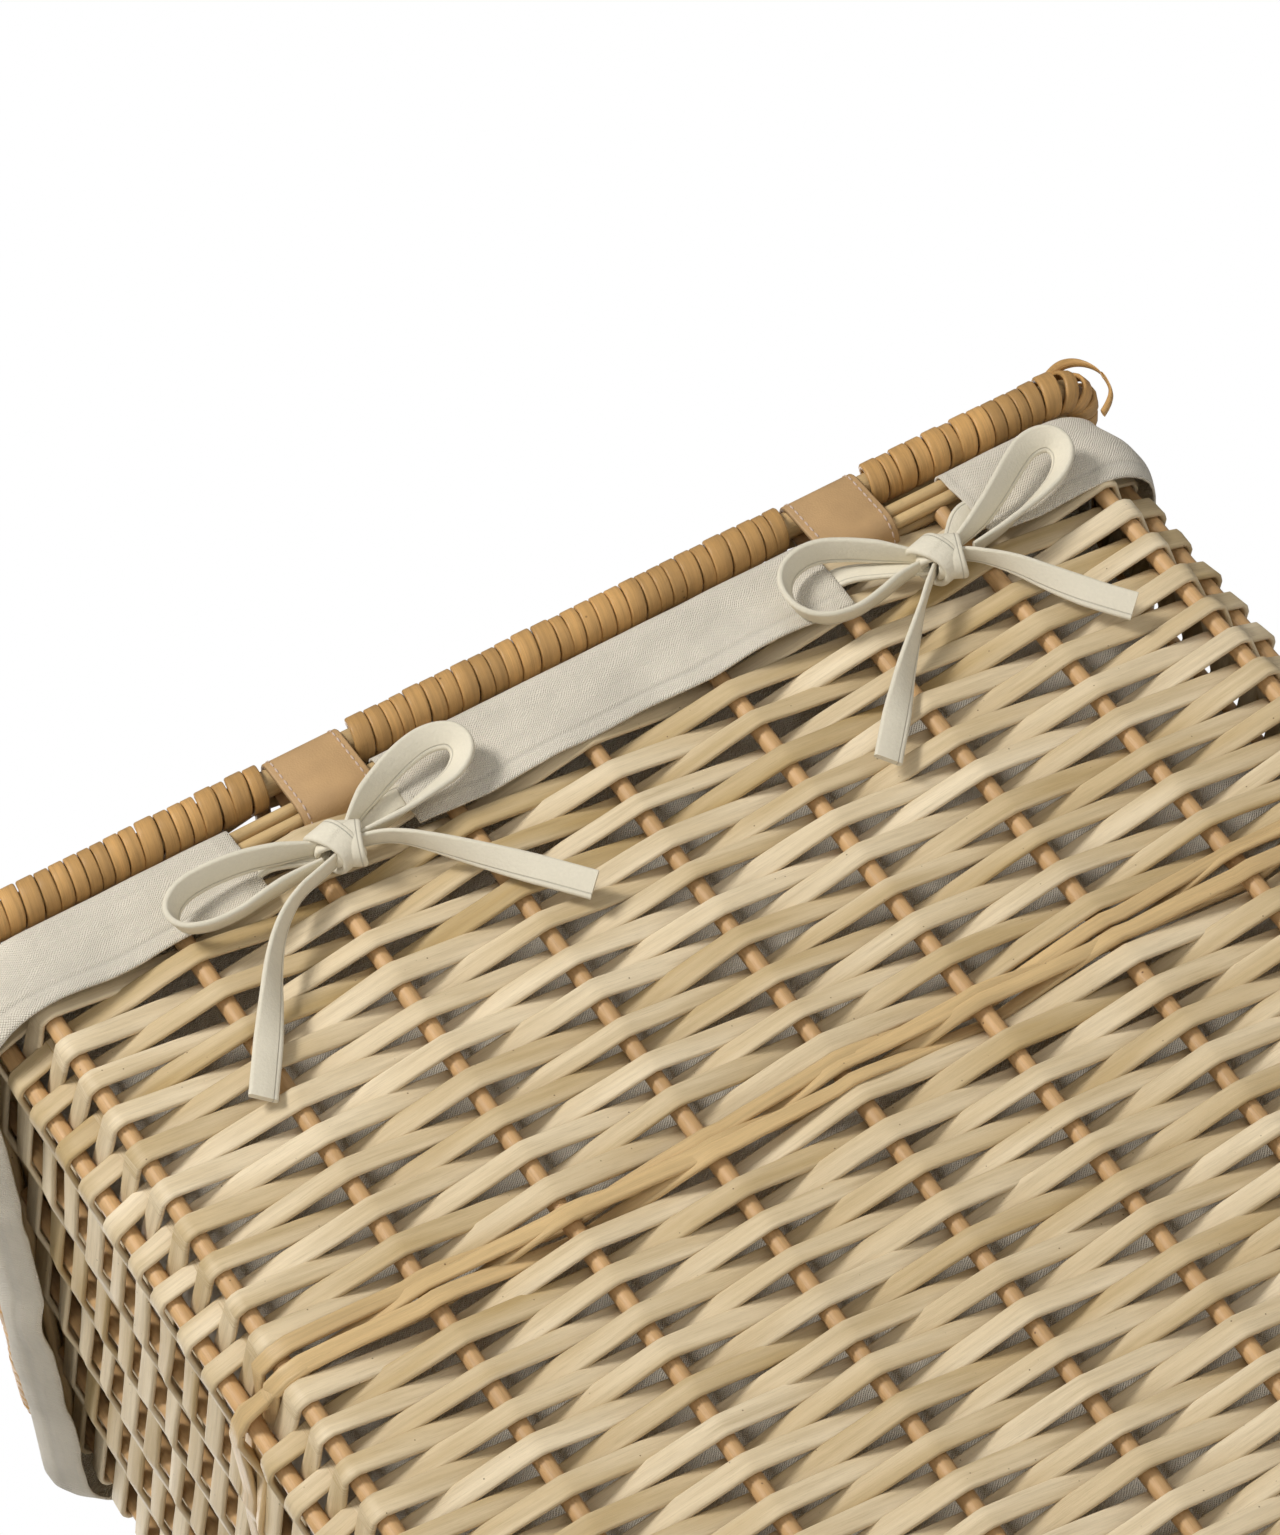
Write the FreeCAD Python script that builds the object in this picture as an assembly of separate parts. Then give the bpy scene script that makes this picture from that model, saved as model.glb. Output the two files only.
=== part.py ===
import FreeCAD, Part
import math
import os

os.makedirs("parts", exist_ok=True)

V = FreeCAD.Vector
X_AXIS = V(1, 0, 0)
Y_AXIS = V(0, 1, 0)
Z_AXIS = V(0, 0, 1)

# Rectangular willow laundry basket with a hinged lid, in millimetres.
# Origin: centre of the base on the floor. +Z up, hinge wall at +Y.

# Upright stakes and the corners
bay = 50.0                # spacing of the upright stakes along a wall
bays_wide = 8             # bays along the hinge wall and the front wall
bays_deep = 5             # bays along each end wall, corner post to corner post
stake_r = 3.2
corner_run_x = 14.0       # corner post, outwards from the last stake of the long wall
corner_run_y = 16.0       # corner post, back from the line of the long wall
stake_fit = 0.05          # radial clearance of a stake in the weaving

# Woven walls
strip_t = 2.4             # thickness of the split willow strips
foot_h = 12.0             # height of the foot border
foot_round = 2.0          # softened upper edges of the foot border
lower_h = 337.0           # woven height below the middle wale
wale_h = 14.0             # height of the middle wale band
upper_h = 169.5           # woven height above the middle wale
wale_proud = 1.6          # how far the wale stands out from the weaving, each side
layer_gap = 0.2           # gap between stacked bands of weaving
wall_gap = 0.2            # gap between neighbouring walls at a corner
corner_skin = 1.6         # weaving between a corner stake's bore and the end of the corner piece

# Top border: a bundle of peeled rods
rod_r = 2.6
rod_gap = 0.1             # gap between neighbouring rods of the bundle
border_gap = 0.4          # gap between the weaving and the rods above it

# Base
base_z = 3.0              # underside of the woven base panel above the floor
base_t = 8.0
base_gap = 0.5            # gap round the base panel inside the foot border
base_rod_r = 2.5
base_rod_pitch = 45.0

# Fabric liner
fabric_t = 1.2
liner_gap = 1.8           # between the bag and the inside of the middle wale
liner_lift = 1.5          # bag floor above the base panel
cuff_drop = 47.0          # fold-over below the lid's rim axis, on the outside
cuff_gap = 0.5            # cuff to the rods and to the weaving
slit_half = 27.0          # half width of the cuff opening round each hinge
slit_shift = 10.0         # centre of the opening from the hinge, towards the nearer end
bag_joint = 0.3           # bag edge to cuff

# Leather hinges
hinge_x = (82.0, -118.0)  # centres of the two hinges along the hinge wall
strap_w = 28.0
strap_t = 1.8
strap_fit = 0.08          # leather loop to the rods it goes round
hinge_reach = 18.4        # lid rod axis above the border axis
strap_room = 1.2          # notch in the weaving round each leather loop

# Lid
lid_core_r = 4.6          # bare rim rod
lid_wrap_r = 8.0          # outside of the cane wrapping
lid_over_x = 6.0          # rim rod outwards from the end wall line
lid_over_y = 3.0          # front rim rod outwards from the front wall line
lid_stake_r = 2.8
lid_weave_t = 10.4
lid_gap = 0.3             # lid pieces to each other
bare_side = 3.0           # bare rod on each side of a hinge loop
wrap_fit = 0.05

# Ties: flat tape knotted into a bow below each hinge
tape_w = 11.0
tape_off = 0.4            # tape to the cuff
knot_r = 14.5
knot_t = 10.0

# Derived places
long_x = bay * bays_wide / 2
post_x = long_x + corner_run_x
post_y = bay * bays_deep / 2
wall_y = post_y + corner_run_y
weave_half = stake_r + strip_t
lower_z0 = foot_h + layer_gap
lower_z1 = lower_z0 + lower_h
wale_z0 = lower_z1 + layer_gap
wale_z1 = wale_z0 + wale_h
upper_z0 = wale_z1 + layer_gap
upper_z1 = upper_z0 + upper_h
rod_step = 2 * rod_r + rod_gap
border_half = rod_step / 2 + rod_r
border_z = upper_z1 + border_gap + border_half
loop_low_r = (rod_step / 2) * math.sqrt(2) + rod_r + strap_fit
lid_z = border_z + hinge_reach
corner_x = long_x - stake_r - corner_skin
corner_y = post_y - stake_r - corner_skin
lid_x = post_x + lid_over_x
lid_front_y = -(wall_y + lid_over_y)
bag_inset = weave_half + wale_proud + liner_gap
bag_x = post_x - bag_inset
bag_y = wall_y - bag_inset
bag_z0 = base_z + base_t + liner_lift
cuff_z = border_z + border_half + cuff_gap
cuff_out = max(border_half, weave_half) + cuff_gap
hem_z = lid_z - cuff_drop


def save(name, shapes):
    solids = shapes if isinstance(shapes, list) else [shapes]
    shape = solids[0] if len(solids) == 1 else Part.makeCompound(solids)
    shape.exportStep("parts/" + name + ".step")


def box(x0, x1, y0, y1, z0, z1):
    return Part.makeBox(x1 - x0, y1 - y0, z1 - z0, V(x0, y0, z0))


def rod(r, start, end):
    return Part.makeCylinder(r, (end - start).Length, start, end - start)


def long_stake_xs():
    return [-long_x + bay * i for i in range(bays_wide + 1)]


def end_stake_ys():
    return [-post_y + bay * i for i in range(1, bays_deep)]


def post_places():
    return [(sx * post_x, sy * post_y) for sx in (-1, 1) for sy in (-1, 1)]


def all_stake_places():
    places = [(x, sy * wall_y) for x in long_stake_xs() for sy in (-1, 1)]
    places += [(sx * post_x, y) for y in end_stake_ys() for sx in (-1, 1)]
    return places + post_places()


def ring_outline():
    """Centre line of the wall, with the corners cut off between stake and post."""
    pts = [V(post_x, post_y, 0), V(long_x, wall_y, 0), V(-long_x, wall_y, 0), V(-post_x, post_y, 0)]
    pts += [V(-post_x, -post_y, 0), V(-long_x, -wall_y, 0), V(long_x, -wall_y, 0), V(post_x, -post_y, 0)]
    return Part.makePolygon(pts + [pts[0]])


def ring(half, z0, z1):
    outer = Part.Face(ring_outline().makeOffset2D(half, 0))
    inner = Part.Face(ring_outline().makeOffset2D(-half, 0))
    band = outer.cut(inner)
    band.translate(V(0, 0, z0))
    return band.extrude(V(0, 0, z1 - z0))


def wall_cutters(z0, z1):
    """A straight box for each wall; the corners go with the end walls as pieces of their own."""
    far = 2 * (post_x + wall_y)
    x1 = corner_x - wall_gap
    y1 = corner_y - wall_gap
    cutters = {
        "back": [box(-x1, x1, 0, far, z0, z1)],
        "front": [box(-x1, x1, -far, 0, z0, z1)],
    }
    for wall, side in (("left", 1), ("right", -1)):
        xs = sorted((side * corner_x, side * far))
        cutters[wall] = [box(xs[0], xs[1], -y1, y1, z0, z1), box(xs[0], xs[1], corner_y, far, z0, z1),
                         box(xs[0], xs[1], -far, -corner_y, z0, z1)]
    return cutters


def wall_pieces(body, cutters):
    return [solid for cutter in cutters for solid in body.common(cutter).Solids]


def strap_notches():
    """Room under the top border for the leather loops to turn in."""
    half = strap_w / 2 + strap_room
    r = loop_low_r + strap_t + strap_room
    return [rod(r, V(x - half, wall_y, border_z), V(x + half, wall_y, border_z)) for x in hinge_x]


def band_walls(label, half, z0, z1, tools):
    """One band of weaving, split into four walls and bored for the stakes."""
    bores = [Part.makeCylinder(stake_r + stake_fit, z1 - z0, V(x, y, z0)) for x, y in all_stake_places()]
    body = ring(half, z0, z1).cut(bores + tools)
    for wall, cutters in wall_cutters(z0, z1).items():
        save(wall + "_" + label, wall_pieces(body, cutters))


def foot_border():
    """Plaited foot border that the basket stands on, with softened edges."""
    body = ring(weave_half, 0, foot_h)
    for wall, cutters in wall_cutters(0, foot_h).items():
        pieces = wall_pieces(body, cutters)
        rims = [e for e in pieces[0].Edges if abs(e.BoundBox.ZMin - foot_h) < 0.01 and e.Length > bay]
        save(wall + "_foot_border", [pieces[0].makeFillet(foot_round, rims)] + pieces[1:])


def stakes():
    def upright(x, y):
        return Part.makeCylinder(stake_r, upper_z1 - foot_h, V(x, y, foot_h))

    notches = strap_notches()
    save("corner_posts", [upright(x, y) for x, y in post_places()])
    save("front_stakes", [upright(x, -wall_y) for x in long_stake_xs()])
    save("back_stakes", [upright(x, wall_y).cut(notches) for x in long_stake_xs()])
    save("left_end_stakes", [upright(post_x, y) for y in end_stake_ys()])
    save("right_end_stakes", [upright(-post_x, y) for y in end_stake_ys()])


def top_border():
    """Two by two bundle of rods along the top of each wall."""
    offsets = [(i * rod_step / 2, j * rod_step / 2) for i in (-1, 1) for j in (-1, 1)]
    end_x = post_x + border_half
    end_y = wall_y - border_half - rod_gap
    for wall, side in (("back", 1), ("front", -1)):
        rods = []
        for out, up in offsets:
            y = side * wall_y + out
            rods.append(rod(rod_r, V(-end_x, y, border_z + up), V(end_x, y, border_z + up)))
        save(wall + "_top_border", rods)
    for wall, side in (("left", 1), ("right", -1)):
        rods = []
        for out, up in offsets:
            x = side * post_x + out
            rods.append(rod(rod_r, V(x, -end_y, border_z + up), V(x, end_y, border_z + up)))
        save(wall + "_top_border", rods)


def base():
    half_x = post_x - weave_half - base_gap
    half_y = wall_y - weave_half - base_gap
    panel = box(-half_x, half_x, -half_y, half_y, base_z, base_z + base_t)
    corner = Part.makePolygon([V(0, 0, 0), V(corner_run_x, 0, 0), V(0, corner_run_y, 0), V(0, 0, 0)])
    wedge = Part.Face(corner).extrude(V(0, 0, base_t))
    for sx in (-1, 1):
        for sy in (-1, 1):
            piece = wedge.copy()
            if sx > 0:
                piece = piece.mirror(V(0, 0, 0), X_AXIS)
            if sy > 0:
                piece = piece.mirror(V(0, 0, 0), Y_AXIS)
            piece.translate(V(sx * half_x, sy * half_y, base_z))
            panel = panel.cut(piece)
    count = int((half_y - corner_run_y) / base_rod_pitch)
    ys = [base_rod_pitch * i for i in range(-count, count + 1)]
    z = base_z + base_t / 2
    rods = [rod(base_rod_r, V(-half_x, y, z), V(half_x, y, z)) for y in ys]
    bores = [rod(base_rod_r + stake_fit, V(-half_x, y, z), V(half_x, y, z)) for y in ys]
    save("base_panel", panel.cut(bores))
    save("base_rods", rods)


def liner():
    """Open-topped bag, and the cuff folded over the top border in six pieces."""
    t = fabric_t
    top = cuff_z - bag_joint
    outside = Part.Face(ring_outline().makeOffset2D(-bag_inset, 0)).extrude(V(0, 0, top - bag_z0))
    inside = Part.Face(ring_outline().makeOffset2D(-bag_inset - t, 0)).extrude(V(0, 0, top - bag_z0))
    outside.translate(V(0, 0, bag_z0))
    inside.translate(V(0, 0, bag_z0 + t))
    save("liner_bag", outside.cut(inside))

    def fold(u0, u1, wall_line, bag_line):
        """Cuff along +X at the hinge wall: a strip over the border and a drop outside."""
        y1 = wall_line + cuff_out + t
        over = box(u0, u1, bag_line - t, y1, cuff_z, cuff_z + t)
        drop = box(u0, u1, y1 - t, y1, hem_z, cuff_z + t)
        return over.fuse(drop).removeSplitter()

    reach = post_x + cuff_out + t
    first, second = hinge_x
    spans = {
        "left": (first + slit_shift + slit_half, reach),
        "middle": (second - slit_shift + slit_half, first + slit_shift - slit_half),
        "right": (-reach, second - slit_shift - slit_half),
    }
    for part, (u0, u1) in spans.items():
        save("liner_cuff_back_" + part, fold(u0, u1, wall_y, bag_y))
    front = fold(-reach, reach, wall_y, bag_y)
    front.rotate(V(0, 0, 0), Z_AXIS, 180)
    save("liner_cuff_front", front)
    end = wall_y + cuff_out - bag_joint
    trim = bag_y - t - bag_joint
    for name, turn in (("left", -90), ("right", 90)):
        piece = fold(-end, end, post_x, bag_x)
        far = post_x + cuff_out + 2 * t
        shoulder = [box(-end - 1, -trim, 0, far, cuff_z - bag_joint, cuff_z + 2 * t),
                    box(trim, end + 1, 0, far, cuff_z - bag_joint, cuff_z + 2 * t)]
        piece = piece.cut(shoulder)
        piece.rotate(V(0, 0, 0), Z_AXIS, turn)
        save("liner_cuff_" + name, piece)


def stadium(r_low, r_high, x0, x1):
    """Outline of a belt round the border axis and the lid rod axis, as a solid."""
    low = rod(r_low, V(x0, wall_y, border_z), V(x1, wall_y, border_z))
    high = rod(r_high, V(x0, wall_y, lid_z), V(x1, wall_y, lid_z))
    lean = math.asin((r_low - r_high) / hinge_reach)
    pts = []
    for z, r, side in ((border_z, r_low, 1), (lid_z, r_high, 1), (lid_z, r_high, -1), (border_z, r_low, -1)):
        pts.append(V(x0, wall_y + side * r * math.cos(lean), z + r * math.sin(lean)))
    middle = Part.Face(Part.makePolygon(pts + [pts[0]])).extrude(V(x1 - x0, 0, 0))
    return low.fuse([high, middle]).removeSplitter()


def hinge_straps():
    for name, x in zip(("left", "right"), hinge_x):
        x0 = x - strap_w / 2
        x1 = x + strap_w / 2
        r_high = lid_core_r + strap_fit
        outer = stadium(loop_low_r + strap_t, r_high + strap_t, x0, x1)
        inner = stadium(loop_low_r, r_high, x0 - 1, x1 + 1)
        save("hinge_strap_" + name, outer.cut(inner))


def lid_frame():
    """Four rim rods: the back and front ones with rounded ends, the side ones between them."""
    rods = []
    for y in (wall_y, lid_front_y):
        ends = [V(-lid_x, y, lid_z), V(lid_x, y, lid_z)]
        balls = [Part.makeSphere(lid_core_r, end) for end in ends]
        rods.append(rod(lid_core_r, *ends).fuse(balls).Solids[0])
    for x in (lid_x, -lid_x):
        rods.append(rod(lid_core_r, V(x, lid_front_y + lid_core_r, lid_z), V(x, wall_y - lid_core_r, lid_z)))
    save("lid_frame", rods)


def sleeve(start, end):
    return rod(lid_wrap_r, start, end).cut(rod(lid_core_r + wrap_fit, start, end))


def lid_wraps():
    """Cane wrapping on the rim rods, left off where the leather hinges sit."""
    end_x = lid_x - lid_core_r - lid_gap
    bare = strap_w / 2 + bare_side
    first, second = hinge_x
    spans = {"left": (first + bare, end_x), "middle": (second + bare, first - bare), "right": (-end_x, second - bare)}
    for name, (x0, x1) in spans.items():
        save("lid_wrap_back_" + name, sleeve(V(x0, wall_y, lid_z), V(x1, wall_y, lid_z)))
    save("lid_wrap_front", sleeve(V(-end_x, lid_front_y, lid_z), V(end_x, lid_front_y, lid_z)))
    y0 = lid_front_y + lid_wrap_r + lid_gap
    y1 = wall_y - lid_wrap_r - lid_gap
    save("lid_wrap_left", sleeve(V(lid_x, y0, lid_z), V(lid_x, y1, lid_z)))
    save("lid_wrap_right", sleeve(V(-lid_x, y0, lid_z), V(-lid_x, y1, lid_z)))


def lid_panel():
    y0 = lid_front_y + lid_wrap_r + lid_gap
    y1 = wall_y - lid_wrap_r - lid_gap
    half = lid_x - lid_wrap_r - lid_gap
    xs = [x for x in long_stake_xs()]
    save("lid_stakes", [rod(lid_stake_r, V(x, y0, lid_z), V(x, y1, lid_z)) for x in xs])
    panel = box(-half, half, y0, y1, lid_z - lid_weave_t / 2, lid_z + lid_weave_t / 2)
    save("lid_weave", panel.cut([rod(lid_stake_r + stake_fit, V(x, y0, lid_z), V(x, y1, lid_z)) for x in xs]))


# Tape routes, in the plane of the wall: each point is (sideways, up) from the middle
# of its knot. A loop leaves the knot, turns round and comes back; a tail ends free.
left_bow = {
    "loop_left": [(12.6, 8.0), (27, 13), (43, 14), (57, 9), (62, -4), (55, -16), (41, -19), (27, -12), (15.2, -4.0)],
    "loop_right": [(-12.6, 8.0), (-25, 13), (-39, 14), (-52, 10), (-57, -3), (-50, -14), (-37, -15), (-25, -9), (-15.2, -3.6)],
    "tail_left": [(6.5, -13.6), (14, -31), (27, -44), (42, -52), (57, -63), (69, -75)],
    "tail_right": [(-6.5, -13.6), (-16, -28), (-30, -37), (-45, -48), (-60, -60)],
}
right_bow = {
    "loop_left": [(12.6, 8.0), (26, 14), (41, 13), (53, 4), (54, -10), (42, -18), (28, -14), (15.2, -4.0)],
    "loop_right": [(-12.6, 8.0), (-27, 14), (-43, 14), (-58, 9), (-65, -5), (-57, -18), (-42, -20), (-28, -12), (-15.2, -4.0)],
    "tail_left": [(6.5, -13.6), (18, -27), (31, -39), (46, -49), (58, -62)],
    "tail_right": [(-6.5, -13.6), (-16, -28), (-26, -40), (-37, -51), (-47, -58)],
}
knot_drop = 46.0          # middle of the knots below the lid's rim axis
bow_places = {"left": (hinge_x[0] + 11.0, lid_z - knot_drop), "right": (hinge_x[1] - 15.0, lid_z - knot_drop)}
tape_y = wall_y + cuff_out + fabric_t + tape_off + tape_w / 2


def smooth_path(points):
    """Straight runs joined by tangent arcs; also returns the arc radii."""
    edges = []
    radii = []
    last = points[0]
    for before, here, after in zip(points, points[1:], points[2:]):
        into = (here - before).normalize()
        out = (after - here).normalize()
        turn = into.getAngle(out)
        trim = 0.45 * min((here - before).Length, (after - here).Length)
        radii.append(trim / math.tan(turn / 2))
        start = here - into * trim
        end = here + out * trim
        middle_dir = (out - into).normalize()
        middle = here + middle_dir * (radii[-1] / math.cos(turn / 2) - radii[-1])
        edges.append(Part.LineSegment(last, start).toShape())
        edges.append(Part.Arc(start, middle, end).toShape())
        last = end
    edges.append(Part.LineSegment(last, points[-1]).toShape())
    return Part.Wire(edges), radii


def tape(name, points):
    path, radii = smooth_path(points)
    ring_wire = Part.Wire(Part.makeCircle(tape_w / 2, points[0], points[1] - points[0]))
    body = path.makePipeShell([ring_wire], True, False)
    expected = math.pi * (tape_w / 2) ** 2 * path.Length
    print(name, "length", round(path.Length, 1), "tightest", round(min(radii), 1), "volume/expected",
          round(body.Volume / expected, 4))
    save(name, body)


def bows():
    for side, routes in (("left", left_bow), ("right", right_bow)):
        x, z = bow_places[side]
        knot = Part.makeCylinder(knot_r, knot_t, V(x, tape_y - knot_t / 2, z), Y_AXIS)
        save("bow_" + side + "_knot", knot)
        for label, route in routes.items():
            tape("bow_" + side + "_" + label, [V(x + a, tape_y, z + b) for a, b in route])


foot_border()
base()
stakes()
band_walls("lower_weave", weave_half, lower_z0, lower_z1, [])
band_walls("middle_wale", weave_half + wale_proud, wale_z0, wale_z1, [])
band_walls("upper_weave", weave_half, upper_z0, upper_z1, strap_notches())
top_border()
liner()
hinge_straps()
lid_frame()
lid_wraps()
lid_panel()
bows()
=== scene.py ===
import math

import bpy
import numpy as np
from mathutils import Matrix, Vector, noise


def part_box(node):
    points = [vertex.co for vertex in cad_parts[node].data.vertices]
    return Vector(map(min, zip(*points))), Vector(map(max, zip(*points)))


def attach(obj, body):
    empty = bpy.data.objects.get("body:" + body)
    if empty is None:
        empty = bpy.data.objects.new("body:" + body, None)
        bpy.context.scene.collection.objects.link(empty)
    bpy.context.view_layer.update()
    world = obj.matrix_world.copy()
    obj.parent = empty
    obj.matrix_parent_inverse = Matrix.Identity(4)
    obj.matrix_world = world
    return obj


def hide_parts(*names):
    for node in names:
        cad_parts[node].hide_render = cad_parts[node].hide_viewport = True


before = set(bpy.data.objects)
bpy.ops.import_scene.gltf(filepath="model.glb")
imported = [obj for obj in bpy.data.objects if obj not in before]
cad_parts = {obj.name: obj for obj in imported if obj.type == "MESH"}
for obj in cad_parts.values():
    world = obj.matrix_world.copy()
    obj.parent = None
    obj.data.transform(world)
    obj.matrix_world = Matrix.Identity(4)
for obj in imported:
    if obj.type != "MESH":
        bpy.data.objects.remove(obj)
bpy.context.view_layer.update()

bl_info = {
    "name": "Woven laundry basket",
    "version": (1, 0, 0),
    "blender": (4, 5, 0),
    "location": "3D Viewport > Sidebar > Basket",
    "description": "Builds a willow laundry basket with a hinged lid, "
                   "leather straps and a tied liner",
    "category": "Add Mesh",
}

MM = 0.001
UP = np.array([0.0, 0.0, 1.0])
WALLS = ("back", "front", "left", "right")
SIDES = ("left", "right")
BORDER_CORNER = 16 * MM         # corner radius of the top and foot borders
CUFF_CORNER = 17 * MM           # corner radius of the liner's fold-over
BAG_CORNER = 22 * MM            # corner radius of the liner bag
LID_CORNER = 11 * MM            # corner radius of the lid's rim
COARSE_STEP = 9 * MM            # spacing of points round a border or the bag
RIM_STEP = 6 * MM               # spacing of points round the lid's rim
CUFF_STEP = 1.5 * MM            # spacing of points on the outline that the fold-over follows
LEATHER_HALF = 0.0009           # half the leather's thickness in the frame
BASE_ROD_PITCH = 45.0 * MM      # spacing of the base panel's rods
FOOT_TWIST = 0.052              # one turn of the foot border's rods takes this length, in metres


def middle(node, axis):
    low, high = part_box(node)
    return (low[axis] + high[axis]) / 2


def top(node):
    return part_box(node)[1][2]


def bottom(node):
    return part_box(node)[0][2]


# Places read from the frame, in metres
STAKE_R = (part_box("back_stakes")[1][1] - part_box("back_stakes")[0][1]) / 2
WALL_Y = middle("back_stakes", 1)
LONG_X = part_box("back_stakes")[1][0] - STAKE_R
POST_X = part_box("corner_posts")[1][0] - STAKE_R
POST_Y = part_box("corner_posts")[1][1] - STAKE_R
BAYS_WIDE = 8
BAYS_DEEP = 5
BAY = 2 * LONG_X / BAYS_WIDE
WEAVE_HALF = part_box("back_lower_weave")[1][1] - WALL_Y
FOOT_TOP = top("back_foot_border")
LOWER = (bottom("back_lower_weave"), top("back_lower_weave"))
WALE = (bottom("back_middle_wale"), top("back_middle_wale"))
UPPER = (bottom("back_upper_weave"), top("back_upper_weave"))
BORDER_Z = middle("back_top_border", 2)
BORDER_HALF = top("back_top_border") - BORDER_Z
LID_Z = middle("lid_frame", 2)
LID_X = middle("lid_wrap_left", 0)
LID_FRONT_Y = middle("lid_wrap_front", 1)
LID_CORE_R = top("lid_frame") - LID_Z
LID_WRAP_R = top("lid_wrap_front") - LID_Z
HINGE_X = {"left": middle("hinge_strap_left", 0), "right": middle("hinge_strap_right", 0)}
STRAP_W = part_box("hinge_strap_left")[1][0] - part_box("hinge_strap_left")[0][0]
SLITS = {"left": (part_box("liner_cuff_back_middle")[1][0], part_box("liner_cuff_back_left")[0][0]),
         "right": (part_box("liner_cuff_back_right")[1][0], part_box("liner_cuff_back_middle")[0][0])}
HEM_Z = bottom("liner_cuff_front")
CUFF_TOP = top("liner_cuff_front")
CUFF_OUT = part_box("liner_cuff_back_middle")[1][1] - WALL_Y
TAPE_Y = middle("bow_left_knot", 1)
KNOTS = {side: (middle("bow_" + side + "_knot", 0),
                middle("bow_" + side + "_knot", 2)) for side in SIDES}


def hue(r, g, b):
    """A colour given as the eye sees it, from 0 to 255, as Blender's linear values."""
    def linear(c):
        c /= 255
        return c / 12.92 if c <= 0.04045 else ((c + 0.055) / 1.055) ** 2.4
    return (linear(r), linear(g), linear(b))


def scaled(colour, factor):
    """The colour made darker or lighter."""
    return tuple(c * factor for c in colour)


def walls(part):
    """The part's node in each of the four walls."""
    return [wall + "_" + part for wall in WALLS]


def size_prop(name, description, default):
    return bpy.props.FloatProperty(name=name, description=description, default=default,
                                   unit="LENGTH", subtype="DISTANCE", precision=5)


def colour_prop(name, description, default):
    return bpy.props.FloatVectorProperty(name=name, description=description, default=default,
                                         size=3, subtype="COLOR", min=0, max=1)


class BasketSizes(bpy.types.PropertyGroup):
    """Sizes of the woven and sewn pieces."""
    strip_h: size_prop("Strip height", "Height of a split willow strip", 8.6 * MM)
    strip_t: size_prop("Strip thickness", "Thickness of a split willow strip", 2.2 * MM)
    row_pitch: size_prop("Row spacing", "Height of one row of weaving", 7.9 * MM)
    wale_rod: size_prop("Wale strand", "Width of the split strands of the middle wale", 6.4 * MM)
    border_rod: size_prop("Border rod", "Diameter of the rods of the top border", 5.1 * MM)
    cane_w: size_prop("Cane width", "Width of the cane wound round the lid's rim", 6.6 * MM)
    cane_t: size_prop("Cane thickness", "Thickness of the cane wound round the lid's rim", 2.0 * MM)
    leather_t: size_prop("Leather thickness", "Thickness of the strap hinges", 1.8 * MM)
    cloth_t: size_prop("Cloth thickness", "Thickness of the liner", 0.9 * MM)
    hem: size_prop("Hem", "Height of the liner's sewn hem", 6.5 * MM)
    tape_w: size_prop("Tape width", "Width of the folded tape of the bows", 10.4 * MM)
    tape_t: size_prop("Tape thickness", "Thickness of the folded tape of the bows", 2.3 * MM)


class BasketColours(bpy.types.PropertyGroup):
    """Colours of the finishes."""
    strip_light: colour_prop("Light willow", "Palest split willow", hue(238, 221, 190))
    strip_dark: colour_prop("Dark willow", "Tan split willow", hue(184, 156, 104))
    stake: colour_prop("Stakes", "Reddish peeled stakes", hue(216, 174, 122))
    rod: colour_prop("Rods", "Golden peeled rods", hue(222, 190, 138))
    cane: colour_prop("Cane", "Honey brown cane of the lid's rim", hue(220, 172, 108))
    leather: colour_prop("Leather", "Tan leather", hue(188, 152, 107))
    thread: colour_prop("Thread", "Pale thread of the stitching", hue(212, 188, 170))
    liner: colour_prop("Liner", "Unbleached cotton of the liner", hue(233, 224, 207))
    bag: colour_prop("Bag", "Natural cotton of the bag inside", hue(233, 224, 207))
    tape: colour_prop("Tape", "Cotton tape of the bows", hue(230, 222, 202))
    floor: colour_prop("Floor", "Pale floor", (0.82, 0.82, 0.81))


class NodeTree:
    """A node tree that is filled a node at a time."""

    def __init__(self, tree):
        self.tree = tree

    def add(self, kind, sockets=None, **settings):
        node = self.tree.nodes.new(kind)
        for key, value in settings.items():
            setattr(node, key, value)
        for key, value in (sockets or {}).items():
            if isinstance(value, bpy.types.NodeSocket):
                self.tree.links.new(value, node.inputs[key])
            else:
                node.inputs[key].default_value = value
        return node

    def math(self, operation, a, b=0.0, c=0.0):
        return self.add("ShaderNodeMath", {0: a, 1: b, 2: c}, operation=operation).outputs[0]

    def vector(self, operation, a, b=(0, 0, 0)):
        return self.add("ShaderNodeVectorMath", {0: a, 1: b}, operation=operation).outputs[0]


# ---------------------------------------------------------------- geometry node trees

def geometry_tree(name, inputs):
    tree = bpy.data.node_groups.new(name, "GeometryNodeTree")
    tree.is_modifier = True
    tree.interface.new_socket("Geometry", in_out="INPUT", socket_type="NodeSocketGeometry")
    tree.interface.new_socket("Geometry", in_out="OUTPUT", socket_type="NodeSocketGeometry")
    for label, kind, value in inputs:
        socket = tree.interface.new_socket(label, in_out="INPUT", socket_type="NodeSocket" + kind)
        if value is not None:
            socket.default_value = value
    build = NodeTree(tree)
    return build, build.add("NodeGroupInput").outputs


def finish_tree(build, geometry, material):
    real = build.add("GeometryNodeRealizeInstances", {0: geometry})
    done = build.add("GeometryNodeSetMaterial", {"Geometry": real.outputs[0], "Material": material})
    build.add("NodeGroupOutput", {0: done.outputs[0]})
    return build.tree


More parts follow.
